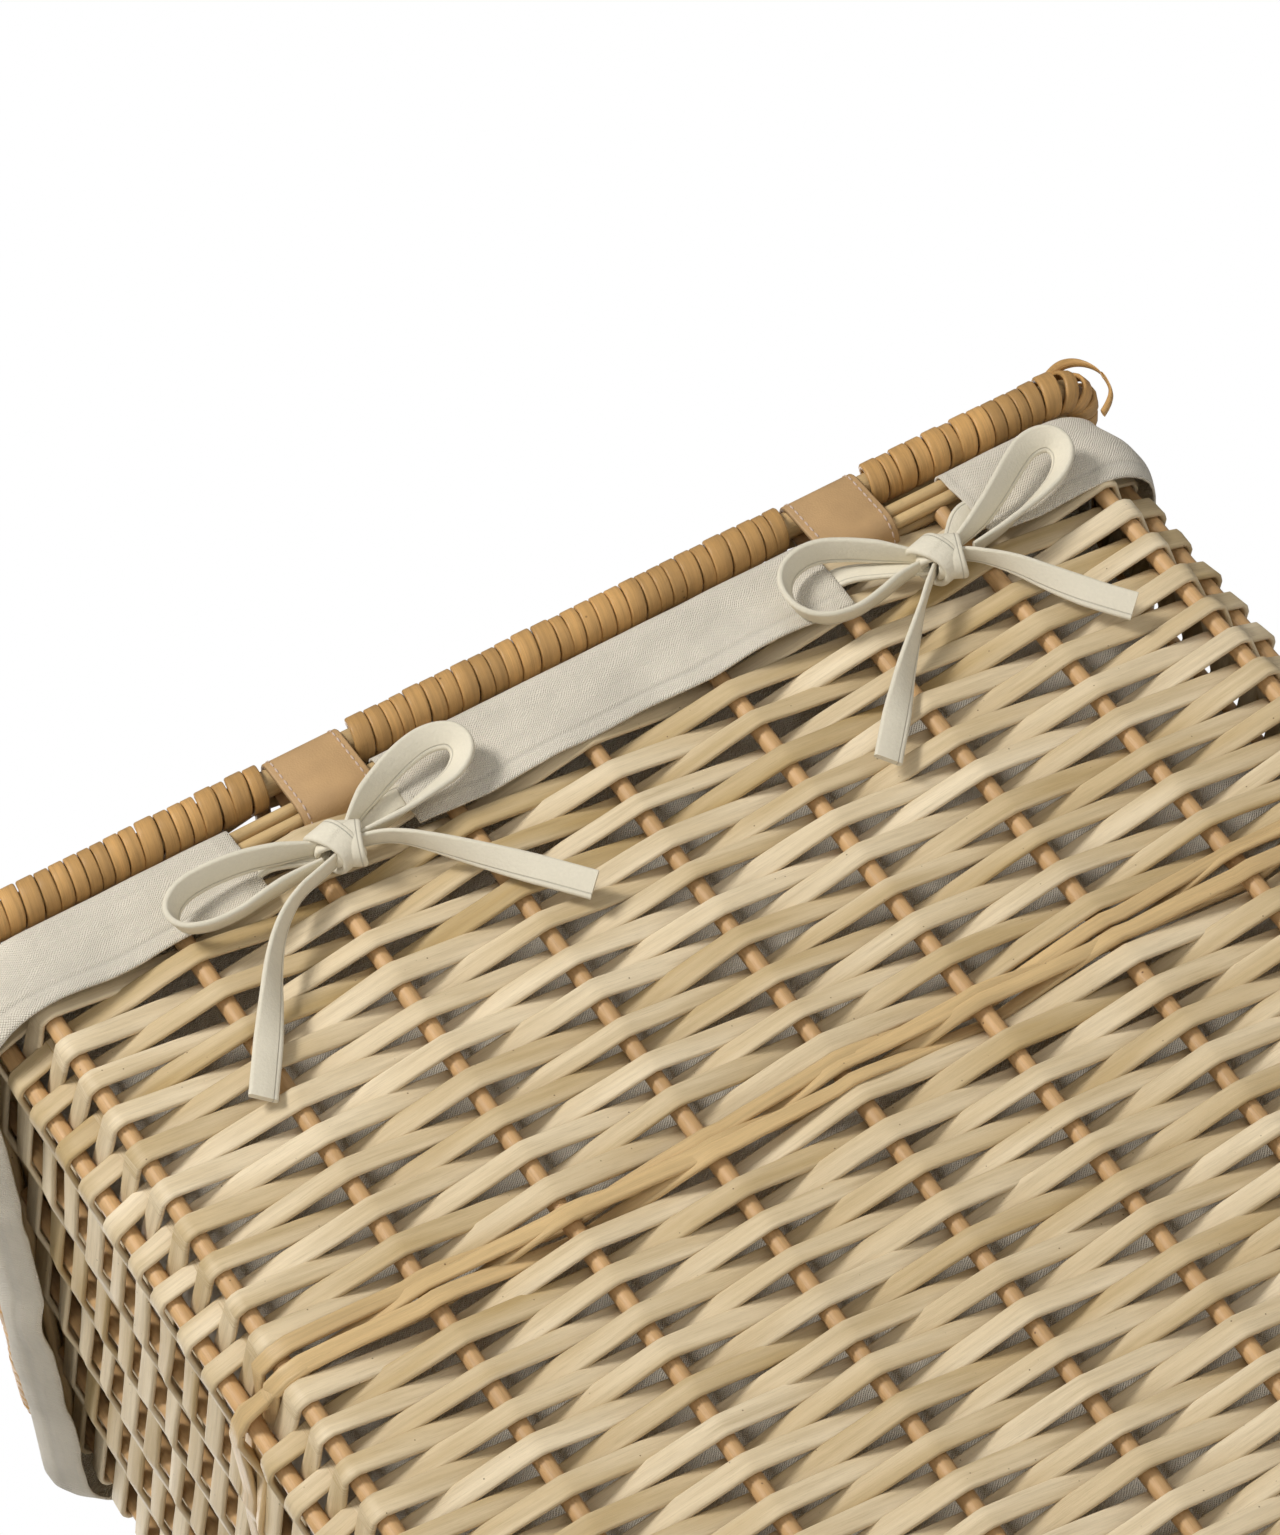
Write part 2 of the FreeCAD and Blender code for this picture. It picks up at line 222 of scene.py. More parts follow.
def strand_tree(name, flat):
    """A strip (flat) or a round rod along every edge chain of the mesh.

    The chains carry facing (the way a strip's broad side looks), girth (a scale) and tint.
    """
    build, given = geometry_tree(name, (
        ("Width", "Float", 0.008), ("Thickness", "Float", 0.002), ("Waver", "Float", 0.0),
        ("Waver Scale", "Float", 20.0), ("Seed", "Float", 0.0), ("Material", "Material", None)))
    chain = build.add("GeometryNodeMeshToCurve", {0: given["Geometry"]})
    wave = build.add("ShaderNodeTexNoise",
                     {"W": given["Seed"], "Scale": given["Waver Scale"], "Detail": 1.0},
                     noise_dimensions="4D")
    centred = build.vector("SUBTRACT", wave.outputs["Color"], (0.5, 0.5, 0.5))
    drift = build.add("ShaderNodeVectorMath", {0: centred, "Scale": given["Waver"]},
                      operation="SCALE")
    moved = build.add("GeometryNodeSetPosition",
                      {"Geometry": chain.outputs[0], "Offset": drift.outputs[0]})
    facing = build.add("GeometryNodeInputNamedAttribute", {"Name": "facing"},
                       data_type="FLOAT_VECTOR")
    turned = build.add("GeometryNodeSetCurveNormal",
                       {"Curve": moved.outputs[0], "Normal": facing.outputs[0]},
                       mode="FREE")
    spot = build.add("GeometryNodeSplineParameter")
    along = build.add("GeometryNodeStoreNamedAttribute",
                      {"Geometry": turned.outputs[0], "Name": "along",
                       "Value": spot.outputs["Length"]})
    if flat:
        shape = build.add("GeometryNodeCurvePrimitiveQuadrilateral",
                          {"Width": given["Thickness"], "Height": given["Width"]})
        radius = build.math("MULTIPLY", given["Thickness"], 0.46)
        profile = build.add("GeometryNodeFilletCurve",
                            {"Curve": shape.outputs[0], "Count": 3, "Radius": radius},
                            mode="POLY").outputs[0]
    else:
        radius = build.math("MULTIPLY", given["Width"], 0.5)
        profile = build.add("GeometryNodeCurvePrimitiveCircle",
                            {"Resolution": 10, "Radius": radius}).outputs[0]
    place = build.add("ShaderNodeSeparateXYZ",
                      {0: build.add("GeometryNodeInputPosition").outputs[0]})
    share = build.math("DIVIDE", place.outputs["Y"], build.math("MULTIPLY", given["Width"], 0.5))
    marked = build.add("GeometryNodeStoreNamedAttribute",
                       {"Geometry": profile, "Name": "across", "Value": share})
    girth = build.add("GeometryNodeInputNamedAttribute", {"Name": "girth"}, data_type="FLOAT")
    swept = build.add("GeometryNodeCurveToMesh",
                      {"Curve": along.outputs[0], "Profile Curve": marked.outputs[0],
                       "Scale": girth.outputs[0], "Fill Caps": True})
    smooth = build.add("GeometryNodeSetShadeSmooth",
                       {"Geometry": swept.outputs[0], "Shade Smooth": True})
    return finish_tree(build, smooth.outputs[0], given["Material"])


def stitch_tree():
    """Stitches of thread, evenly spaced along every edge chain of the mesh."""
    build, given = geometry_tree("Stitches", (
        ("Spacing", "Float", 0.0036), ("Length", "Float", 0.0025), ("Thread", "Float", 0.0008),
        ("Material", "Material", None)))
    chain = build.add("GeometryNodeMeshToCurve", {0: given["Geometry"]})
    points = build.add("GeometryNodeCurveToPoints",
                       {"Curve": chain.outputs[0], "Length": given["Spacing"]},
                       mode="LENGTH")
    bead = build.add("GeometryNodeMeshUVSphere", {"Segments": 8, "Rings": 6, "Radius": 0.5})
    size = build.add("ShaderNodeCombineXYZ",
                     {0: given["Thread"], 1: given["Thread"], 2: given["Length"]})
    laid = build.add("GeometryNodeInstanceOnPoints",
                     {"Points": points.outputs["Points"], "Instance": bead.outputs[0],
                      "Rotation": points.outputs["Rotation"], "Scale": size.outputs[0]})
    real = build.add("GeometryNodeRealizeInstances", {0: laid.outputs[0]})
    smooth = build.add("GeometryNodeSetShadeSmooth",
                       {"Geometry": real.outputs[0], "Shade Smooth": True})
    return finish_tree(build, smooth.outputs[0], given["Material"])


def tree_named(name):
    found = bpy.data.node_groups.get(name)
    if found:
        return found
    if name == "Stitches":
        return stitch_tree()
    return strand_tree(name, flat=(name == "Flat strand"))


# ---------------------------------------------------------------- strands

class Strand:
    """A line of points that a strip, a rod or a seam follows."""

    def __init__(self, points, facing=None, girth=1.0, tint=0.5, closed=False):
        self.points = np.asarray(points, float)
        count = len(self.points)
        self.facing = np.tile(UP, (count, 1)) if facing is None else np.asarray(facing, float)
        self.girth = np.broadcast_to(np.asarray(girth, float), (count,))
        self.tint = tint
        self.closed = closed


def chain_object(strands):
    """One mesh of edge chains for a list of strands."""
    points, edges, start = [], [], 0
    for strand in strands:
        count = len(strand.points)
        points.append(strand.points)
        run = np.arange(start, start + count)
        pairs = np.stack([run[:-1], run[1:]], 1)
        if strand.closed:
            pairs = np.vstack([pairs, [[run[-1], run[0]]]])
        edges.append(pairs)
        start += count
    mesh = bpy.data.meshes.new("chains")
    mesh.from_pydata(np.vstack(points).tolist(), np.vstack(edges).tolist(), [])
    for name, kind, values, key in (
            ("facing", "FLOAT_VECTOR", np.vstack([s.facing for s in strands]), "vector"),
            ("girth", "FLOAT", np.concatenate([s.girth for s in strands]), "value"),
            ("tint", "FLOAT", np.concatenate([np.full(len(s.points), s.tint) for s in strands]),
             "value")):
        layer = mesh.attributes.new(name, kind, "POINT")
        layer.data.foreach_set(key, values.astype(np.float32).ravel())
    obj = bpy.data.objects.new("chains", mesh)
    bpy.context.scene.collection.objects.link(obj)
    return obj


def sweep(name, tree_name, strands, inputs, material):
    """Runs a node tree over the strands and keeps the result as a plain mesh object."""
    source = chain_object(strands)
    tree = tree_named(tree_name)
    modifier = source.modifiers.new("sweep", "NODES")
    modifier.node_group = tree
    sockets = {item.name: item.identifier for item in tree.interface.items_tree
               if item.in_out == "INPUT"}
    for label, value in inputs.items():
        modifier[sockets[label]] = value
    modifier[sockets["Material"]] = material
    graph = bpy.context.evaluated_depsgraph_get()
    mesh = bpy.data.meshes.new_from_object(source.evaluated_get(graph))
    plain = bpy.data.objects.new(name, mesh)
    mesh.name = name
    bpy.context.scene.collection.objects.link(plain)
    bpy.data.objects.remove(source)
    return plain


def spline_points(route):
    """Points along a smooth spline whose control points are the route's."""
    curve = bpy.data.curves.new("route", "CURVE")
    curve.dimensions = "3D"
    curve.resolution_u = 8
    spline = curve.splines.new("NURBS")
    spline.points.add(len(route) - 1)
    for point, place in zip(spline.points, route):
        point.co = (*place, 1)
    spline.order_u = 3
    spline.use_endpoint_u = True
    obj = bpy.data.objects.new("route", curve)
    bpy.context.scene.collection.objects.link(obj)
    graph = bpy.context.evaluated_depsgraph_get()
    mesh = bpy.data.meshes.new_from_object(obj.evaluated_get(graph))
    points = [tuple(v.co) for v in mesh.vertices]
    bpy.data.objects.remove(obj)
    bpy.data.meshes.remove(mesh)
    return points


def settle(obj, body, nodes=()):
    """The piece rides on its body and stands for its nodes."""
    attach(obj, body)
    if nodes:
        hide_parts(*nodes)
    return obj


def unit(v):
    v = np.asarray(v, float)
    return v / np.maximum(np.linalg.norm(v, axis=-1, keepdims=True), 1e-12)


def tangents(points, closed):
    points = np.asarray(points, float)
    if closed:
        return unit(np.roll(points, -1, 0) - np.roll(points, 1, 0))
    return unit(np.gradient(points, axis=0))


def ring_stations():
    """Every upright stake in order round the basket, with its outward direction."""
    xs = [LONG_X - BAY * i for i in range(BAYS_WIDE + 1)]
    ys = [POST_Y - BAY * i for i in range(1, BAYS_DEEP)]
    places = [(x, WALL_Y) for x in xs] + [(-POST_X, POST_Y)] + [(-POST_X, y) for y in ys]
    places += [(-POST_X, -POST_Y)] + [(-x, -WALL_Y) for x in xs] + [(POST_X, -POST_Y)]
    places += [(POST_X, -y) for y in ys] + [(POST_X, POST_Y)]
    spots = np.array([(x, y, 0.0) for x, y in places])
    ahead = unit(np.roll(spots, -1, 0) - spots)
    out = np.cross(UP, ahead)
    return spots, -unit(out + np.roll(out, 1, 0))


def row_over(spots, out, signs, reach, closed=True, crease=2.2 * MM, dip=0.35 * MM, between=3):
    """A strip that bends over each stake: outside where its sign is 1, inside where it is -1."""
    count = len(spots)
    points = []
    for k in range(count):
        ahead = spots[k] - spots[k - 1]
        if closed or k + 1 < count:
            ahead = spots[(k + 1) % count] - spots[k]
        back = spots[k] - spots[k - 1] if closed or k else ahead
        line = unit(unit(ahead) + unit(back))
        crown = spots[k] + out[k] * signs[k] * reach
        low = out[k] * signs[k] * dip
        points.append([crown - line * crease - low, crown, crown + line * crease - low])
    result = []
    for k in range(count):
        result.extend(points[k])
        if closed or k + 1 < count:
            start, end = points[k][2], points[(k + 1) % count][0]
            result.extend(start + (end - start) * (i + 1) / (between + 1) for i in range(between))
    return np.array(result)


def spread(values, closed, between=3):
    """Values given at the stakes, for each point that row_over makes."""
    values = np.asarray(values, float)
    count = len(values)
    result = []
    for k in range(count):
        result.extend([values[k]] * 3)
        if closed or k + 1 < count:
            after = values[(k + 1) % count]
            result.extend(values[k] + (after - values[k]) * (i + 1) / (between + 1)
                          for i in range(between))
    return np.array(result)


# ---------------------------------------------------------------- finishes

def surface(name, roughness, colour=None):
    material = bpy.data.materials.new(name)
    material.use_nodes = True
    material.node_tree.nodes.clear()
    build = NodeTree(material.node_tree)
    shader = build.add("ShaderNodeBsdfPrincipled", {"Roughness": roughness})
    if colour:
        shader.inputs["Base Color"].default_value = (*colour, 1)
    build.add("ShaderNodeOutputMaterial", {"Surface": shader.outputs[0]})
    return material, build, shader


def attribute(build, name):
    return build.add("ShaderNodeAttribute", attribute_name=name, attribute_type="GEOMETRY")


def blend(build, factor, a, b, kind="MIX"):
    def socket(c):
        return (*c, 1) if isinstance(c, tuple) else c
    node = build.add("ShaderNodeMix", data_type="RGBA", blend_type=kind, clamp_factor=True)
    for index, value in ((0, factor), (6, socket(a)), (7, socket(b))):
        if isinstance(value, bpy.types.NodeSocket):
            build.tree.links.new(value, node.inputs[index])
        else:
            node.inputs[index].default_value = value
    return node.outputs[2]


def ramp(build, value, low, high):
    """0 below low, 1 above high."""
    return build.add("ShaderNodeMapRange", {0: value, 1: low, 2: high, 3: 0.0, 4: 1.0}).outputs[0]


def bumped(build, shader, height, strength, distance):
    bump = build.add("ShaderNodeBump",
                     {"Height": height, "Strength": strength, "Distance": distance})
    build.tree.links.new(bump.outputs[0], shader.inputs["Normal"])


def strand_coordinate(build, length_scale, width_scale):
    """Runs with the strand: along it, across it, and different for each strand."""
    parts = [attribute(build, n).outputs["Fac"] for n in ("along", "across", "tint")]
    return build.add("ShaderNodeCombineXYZ", {
        0: build.math("MULTIPLY", parts[0], length_scale),
        1: build.math("MULTIPLY", parts[1], width_scale),
        2: build.math("MULTIPLY", parts[2], 57.0)}).outputs[0], parts


def wood(name, light, dark, fibre, knots, roughness):
    """Peeled or split willow: colour by strand, long fibres, blotches, specks and knots."""
    material, build, shader = surface(name, roughness)
    where, parts = strand_coordinate(build, 22.0, 1.6)
    tint = parts[2]
    fibres = build.add("ShaderNodeTexNoise",
                       {"Vector": where, "Scale": 1.0, "Detail": 5.0, "Roughness": 0.65})
    patches = build.add("ShaderNodeTexNoise",
                        {"Vector": build.vector("MULTIPLY", where, (0.6, 0.25, 1.0)),
                                               "Scale": 1.0, "Detail": 2.0})
    fine, _ = strand_coordinate(build, 110.0, 11.0)
    streaks = build.add("ShaderNodeTexNoise",
                        {"Vector": fine, "Scale": 1.0, "Detail": 3.0, "Roughness": 0.7})
    mixed = build.math("ADD", build.math("MULTIPLY", tint, 0.55),
                       build.math("MULTIPLY", ramp(build, patches.outputs[0], 0.35, 0.68), 0.45))
    base = blend(build, mixed, light, dark)
    worn = blend(build, build.math("MULTIPLY", ramp(build, fibres.outputs[0], 0.42, 0.75), fibre),
                 base, scaled(dark, 0.62))
    lined = blend(build, build.math("MULTIPLY", ramp(build, streaks.outputs[0], 0.52, 0.8),
                                    fibre * 0.9), worn, scaled(dark, 0.5))
    place = build.add("ShaderNodeTexCoord").outputs["Object"]
    cells = build.add("ShaderNodeTexVoronoi", {"Vector": place, "Scale": knots, "Randomness": 1.0})
    rare = build.add("ShaderNodeTexNoise", {"Vector": place, "Scale": knots * 0.32, "Detail": 1.0})
    speck = build.math("MULTIPLY",
                       build.math("SUBTRACT", 1.0,
                                  ramp(build, cells.outputs["Distance"], 0.03, 0.075)),
                       ramp(build, rare.outputs[0], 0.5, 0.56))
    dotted = blend(build, build.math("MULTIPLY", speck, 0.85), lined, hue(92, 62, 34))
    build.tree.links.new(dotted, shader.inputs["Base Color"])
    relief = build.math("ADD", fibres.outputs[0], build.math("MULTIPLY", streaks.outputs[0], 0.6))
    bumped(build, shader, relief, 0.35, 0.0006)
    shader.inputs["Specular IOR Level"].default_value = 0.35
    return material


def leather(colour):
    material, build, shader = surface("Tan leather", 0.55)
    place = build.add("ShaderNodeTexCoord").outputs["Object"]
    pores = build.add("ShaderNodeTexVoronoi", {"Vector": place, "Scale": 1500.0}, feature="F1")
    creases = build.add("ShaderNodeTexNoise", {"Vector": place, "Scale": 420.0, "Detail": 4.0})
    cloud = build.add("ShaderNodeTexNoise", {"Vector": place, "Scale": 60.0, "Detail": 3.0})
    across = build.math("ABSOLUTE", attribute(build, "across").outputs["Fac"])
    shade = blend(build, ramp(build, cloud.outputs[0], 0.3, 0.75), scaled(colour, 1.08),
                  scaled(colour, 0.86))
    edge = blend(build, ramp(build, across, 0.965, 0.995), shade, scaled(colour, 0.62))
    build.tree.links.new(edge, shader.inputs["Base Color"])
    relief = build.math("ADD", pores.outputs["Distance"],
                        build.math("MULTIPLY", creases.outputs[0], 0.8))
    bumped(build, shader, relief, 0.3, 0.0002)
    return material


def thread(colour):
    material, build, shader = surface("Thread", 0.8)
    place = build.add("ShaderNodeTexCoord").outputs["Object"]
    twist = build.add("ShaderNodeTexNoise", {"Vector": place, "Scale": 2600.0, "Detail": 1.0})
    shade = blend(build, twist.outputs[0], colour, scaled(colour, 0.75))
    build.tree.links.new(shade, shader.inputs["Base Color"])
    bumped(build, shader, twist.outputs[0], 0.4, 0.0001)
    return material


def cotton(name, colour, pitch, seam_lines):
    """Plain-woven cotton on the piece's own UV map, laid out in metres."""
    material, build, shader = surface(name, 0.92)
    uv = build.add("ShaderNodeUVMap", uv_map="cloth").outputs[0]
    parts = build.add("ShaderNodeSeparateXYZ", {0: uv})
    wobble = build.add("ShaderNodeTexNoise", {"Vector": uv, "Scale": 160.0, "Detail": 2.0})
    waves = []
    for axis in ("X", "Y"):
        shifted = build.math("ADD", parts.outputs[axis],
                             build.math("MULTIPLY", wobble.outputs[0], pitch * 1.3))
        waves.append(build.math("SINE", build.math("MULTIPLY", shifted, 2 * math.pi / pitch)))
    cross = build.math("MULTIPLY", waves[0], waves[1])
    slub = build.add("ShaderNodeTexNoise",
                     {"Vector": build.vector("MULTIPLY", uv, (60.0, 900.0, 1.0)), "Scale": 1.0,
                      "Detail": 3.0})
    cloud = build.add("ShaderNodeTexNoise", {"Vector": uv, "Scale": 28.0, "Detail": 4.0})
    tone = blend(build, ramp(build, cloud.outputs[0], 0.3, 0.75),
                 tuple(min(1, c * 1.08) for c in colour), scaled(colour, 0.84))
    woven = blend(build, build.math("MULTIPLY", ramp(build, cross, -0.3, 0.9), 0.25), tone,
                  scaled(colour, 0.62))
    lined = blend(build, build.math("MULTIPLY", ramp(build, slub.outputs[0], 0.55, 0.8), 0.35),
                  woven, scaled(colour, 0.72))
    height = build.math("ADD", build.math("MULTIPLY", cross, 0.5), slub.outputs[0])
    if seam_lines:
        edge = attribute(build, "seam").outputs["Fac"]
        lined = blend(build, build.math("MULTIPLY", edge, 0.22), lined, scaled(colour, 0.55))
        height = build.math("SUBTRACT", height, build.math("MULTIPLY", edge, 2.0))
    build.tree.links.new(lined, shader.inputs["Base Color"])
    bumped(build, shader, height, 0.8, 0.0005)
    shader.inputs["Sheen Weight"].default_value = 0.15
    return material


def finish_for(name):
    """The named finish, made once."""
    found = bpy.data.materials.get(name)
    if found:
        return found
    c = bpy.context.scene.basket_colours
    makers = {
        "Split willow": lambda: wood("Split willow", tuple(c.strip_light), tuple(c.strip_dark),
                                     0.35, 210.0, 0.5),
        "Stake willow": lambda: wood("Stake willow", tuple(c.stake), scaled(c.stake, 0.72), 0.4,
                                     150.0, 0.42),
        "Rod willow": lambda: wood("Rod willow", tuple(c.rod), scaled(c.rod, 0.72), 0.45, 170.0,
                                   0.42),
        "Cane wrap": lambda: wood("Cane wrap", tuple(c.cane), scaled(c.cane, 0.58), 0.5, 120.0,
                                  0.4),
        "Tan leather": lambda: leather(tuple(c.leather)),
        "Thread": lambda: thread(tuple(c.thread)),
        "Liner cotton": lambda: cotton("Liner cotton", tuple(c.liner), 1.0 * MM, True),
        "Bag cotton": lambda: cotton("Bag cotton", tuple(c.bag), 1.0 * MM, False),
        "Tape cotton": lambda: tape_cotton(tuple(c.tape)),
    }
    return makers[name]()


def tape_cotton(colour):
    """Folded and edge-stitched cotton tape, on the strand's own attributes."""
    material, build, shader = surface("Tape cotton", 0.92)
    where, parts = strand_coordinate(build, 900.0, 5.0)
    across = build.math("ABSOLUTE", parts[1])
    weave = build.add("ShaderNodeTexNoise", {"Vector": where, "Scale": 1.0, "Detail": 2.0})
    seam = build.math("SUBTRACT", 1.0,
                      ramp(build, build.math("ABSOLUTE", build.math("SUBTRACT", parts[1], 0.66)),
                           0.02, 0.07))
    fold = ramp(build, across, 0.86, 1.0)
    shade = blend(build, build.math("MULTIPLY", weave.outputs[0], 0.5), colour, scaled(colour, 0.8))
    lined = blend(build, build.math("MULTIPLY", seam, 0.5), shade, scaled(colour, 0.5))
    edged = blend(build, build.math("MULTIPLY", fold, 0.25), lined, scaled(colour, 0.7))
    build.tree.links.new(edged, shader.inputs["Base Color"])
    height = build.math("SUBTRACT", weave.outputs[0], build.math("MULTIPLY", seam, 2.0))
    bumped(build, shader, height, 0.5, 0.0003)
    return material


# ---------------------------------------------------------------- woven walls

def wall_rows(zone, rng):
    """Rows of split willow strips between two heights, each bent in front of every other stake."""
    sizes = bpy.context.scene.basket_sizes
    spots, out = ring_stations()
    count = round((zone[1] - zone[0]) / sizes.row_pitch)
    pitch = (zone[1] - zone[0]) / count
    strands = []
    for row in range(count):
        signs = np.where((np.arange(len(spots)) + row) % 2 == 0, 1.0, -1.0)
        reach = STAKE_R + sizes.strip_t / 2 + 0.5 * MM
        path = row_over(spots, out, signs, reach)
        ways = tangents(path * (1, 1, 0), True)
        lean = spread(rng.normal(0, 0.10, len(spots)) + signs * 0.05, True)
        facing = unit(np.cross(ways, UP) + UP * lean[:, None])
        rise = spread(rng.normal(0, 0.55 * MM, len(spots)), True)
        path[:, 2] = zone[0] + pitch * (row + 0.5) + rise
        girth = rng.uniform(0.88, 1.03) * spread(rng.uniform(0.93, 1.05, len(spots)), True)
        strands.append(Strand(path, facing, girth, rng.uniform(), True))
    return strands


def weave_walls():
    sizes = bpy.context.scene.basket_sizes
    for label, zone, seed in (("lower", LOWER, 3), ("upper", UPPER, 8)):
        strands = wall_rows(zone, np.random.RandomState(seed))
        obj = sweep(label + "_weaving", "Flat strand", strands,
                    {"Width": sizes.strip_h, "Thickness": sizes.strip_t, "Waver": 1.1 * MM,
                     "Waver Scale": 45.0,
                     "Seed": float(seed)}, finish_for("Split willow"))
        settle(obj, "basket", walls(label + "_weave"))


def uprights():
    """Stakes and corner posts, a little crooked, as peeled willow grows."""
    rng = np.random.RandomState(5)
    spots, _ = ring_stations()
    strands = []
    for x, y, _ in spots:
        heights = np.linspace(FOOT_TOP - 3 * MM, UPPER[1] + 0.5 * MM, 40)
        path = np.stack([np.full(40, x), np.full(40, y), heights], 1)
        girth = 1.0 + 0.03 * np.sin(heights * 90 + rng.uniform(0, 6)) + rng.uniform(-0.02, 0.04)
        strands.append(Strand(path, np.tile((0.0, 1.0, 0.0), (40, 1)), girth, rng.uniform()))
    obj = sweep("stakes", "Round strand", strands,
                {"Width": 2 * STAKE_R, "Waver": 0.5 * MM, "Waver Scale": 12.0},
                finish_for("Stake willow"))
    settle(obj, "basket",
           ["corner_posts", "back_stakes", "front_stakes", "left_end_stakes", "right_end_stakes"])


def middle_wale():
    """Thin split strands that run round the middle, in front of two stakes and behind one."""
    sizes = bpy.context.scene.basket_sizes
    rng = np.random.RandomState(11)
    spots, out = ring_stations()
    centre = (WALE[0] + WALE[1]) / 2
    strands = []
    # Each strand's height in millimetres, how far it rises and falls, and its thickness
    levels = ((4.2, 1.2, 1.0), (1.2, 2.6, 0.95), (-1.6, 2.4, 1.05), (-4.6, 1.2, 0.95))
    for rod, (level, swing, thick) in enumerate(levels):
        turn = (np.arange(len(spots)) + rod * 2) % 3
        signs = np.where(turn == 2, -1.0, 1.0)
        reach = STAKE_R + 1.3 * MM + 0.35 * MM * rod
        path = row_over(spots, out, signs, reach, crease=6 * MM, dip=0.9 * MM)
        heights = (level + swing * np.sin(turn * 2.1 + rod) * 0.7
                   + rng.normal(0, 0.7, len(spots))) * MM
        path[:, 2] = centre + spread(heights, True)
        sideways = np.cross(tangents(path * (1, 1, 0), True), UP)
        lean = spread(rng.normal(0, 0.35, len(spots)), True)
        facing = unit(sideways + UP * lean[:, None])
        strands.append(Strand(path, facing, thick * spread(rng.uniform(0.8, 1.1, len(spots)), True),
                              rng.uniform(), True))
    obj = sweep("middle_wale", "Flat strand", strands,
                {"Width": sizes.wale_rod, "Thickness": 2.4 * MM, "Waver": 1.6 * MM,
                 "Waver Scale": 28.0, "Seed": 2.0},
                finish_for("Rod willow"))
    settle(obj, "basket", walls("middle_wale"))


def rounded_rectangle(half_x, half_y, radius, step):
    """Points round a rectangle with rounded corners, outward directions and distances.

    It starts at the middle of the +Y side and goes towards -X.
    """
    points, outs = [], []
    corners = ((-1, 1, 90), (-1, -1, 180), (1, -1, 270), (1, 1, 0))
    for sx, sy, start in corners:
        centre = np.array([sx * (half_x - radius), sy * (half_y - radius), 0.0])
        for i in range(9):
            angle = math.radians(start + 90 * i / 8)
            way = np.array([math.cos(angle), math.sin(angle), 0.0])
            points.append(centre + way * radius)
            outs.append(way)
    points, outs = np.array(points), np.array(outs)
    points = np.vstack([points, points[:1]])
    outs = np.vstack([outs, outs[:1]])
    lengths = np.concatenate([[0], np.cumsum(np.linalg.norm(np.diff(points, axis=0), axis=1))])
    shift = (half_x - radius)
    total = lengths[-1]
    count = max(8, int(total / step))
    where = (np.arange(count) * total / count - shift) % total
    def pick(values):
        return np.stack([np.interp(where, lengths, values[:, i]) for i in range(3)], 1)
    return pick(points), unit(pick(outs)), np.arange(count) * total / count


def bundle(name, half_x, half_y, centre, offsets, width, nodes, seed, twist=0.0):
    """Parallel rods that run all the way round, held as a bundle."""
    rng = np.random.RandomState(seed)
    base, outs, run = rounded_rectangle(half_x, half_y, BORDER_CORNER, COARSE_STEP)
    strands = []
    for out, up in offsets:
        angle = twist * run
        side = out * np.cos(angle) - up * np.sin(angle)
        rise = out * np.sin(angle) + up * np.cos(angle)
        path = base + outs * side[:, None] + UP * rise[:, None]
        path[:, 2] += centre
        wave = 1 + 0.05 * np.sin(run * 37 + rng.uniform(0, 6))
        strands.append(Strand(path, None, wave * rng.uniform(0.9, 1.02), rng.uniform(), True))
    obj = sweep(name, "Round strand", strands,
                {"Width": width, "Waver": 0.8 * MM, "Waver Scale": 25.0, "Seed": float(seed)},
                finish_for("Rod willow"))
    settle(obj, "basket", nodes)


def borders():
    sizes = bpy.context.scene.basket_sizes
    step = (BORDER_HALF - sizes.border_rod / 2) * 0.98
    corners = [(step, step), (step, -step), (-step, step), (-step, -step)]
    bundle("top_border", POST_X, WALL_Y, BORDER_Z, corners, sizes.border_rod,
           walls("top_border"), 21)
    ring = FOOT_TOP / 2
    turns = 2 * math.pi / FOOT_TWIST
    strands = [(3.2 * MM * math.cos(a), 3.2 * MM * math.sin(a)) for a in (0.3, 1.87, 3.44, 5.01)]
    length = 2 * (2 * POST_X + 2 * WALL_Y)
    around = round(turns * length / (2 * math.pi)) * 2 * math.pi / length
    bundle("foot_border", POST_X, WALL_Y, ring, strands, 5.3 * MM,
           walls("foot_border"), 33, around)


def flat_rows(xs, y0, y1, z, rod_r, pitch, thickness, seed, along_x):
    """Strips that weave over and under parallel rods in a level panel."""
    rng = np.random.RandomState(seed)
    count = max(3, round((y1 - y0) / pitch))
    step = (y1 - y0) / count
    strands = []
    for row in range(count):
        signs = np.where((np.arange(len(xs)) + row) % 2 == 0, 1.0, -1.0)
        side = y0 + step * (row + 0.5)
        spots = np.array([(x, side, z) if along_x else (side, x, z) for x in xs])
        out = np.tile(UP, (len(xs), 1))
        path = row_over(spots, out, signs, rod_r + thickness / 2, closed=False)
        facing = unit(np.cross(tangents(path, False),
                               (0.0, 1.0, 0.0) if along_x else (1.0, 0.0, 0.0)))
        path[:, 1 if along_x else 0] += spread(rng.normal(0, 0.45 * MM, len(xs)), False)
        girth = rng.uniform(0.88, 1.03) * spread(rng.uniform(0.94, 1.05, len(xs)), False)
        strands.append(Strand(path, facing, girth, rng.uniform()))
    return strands


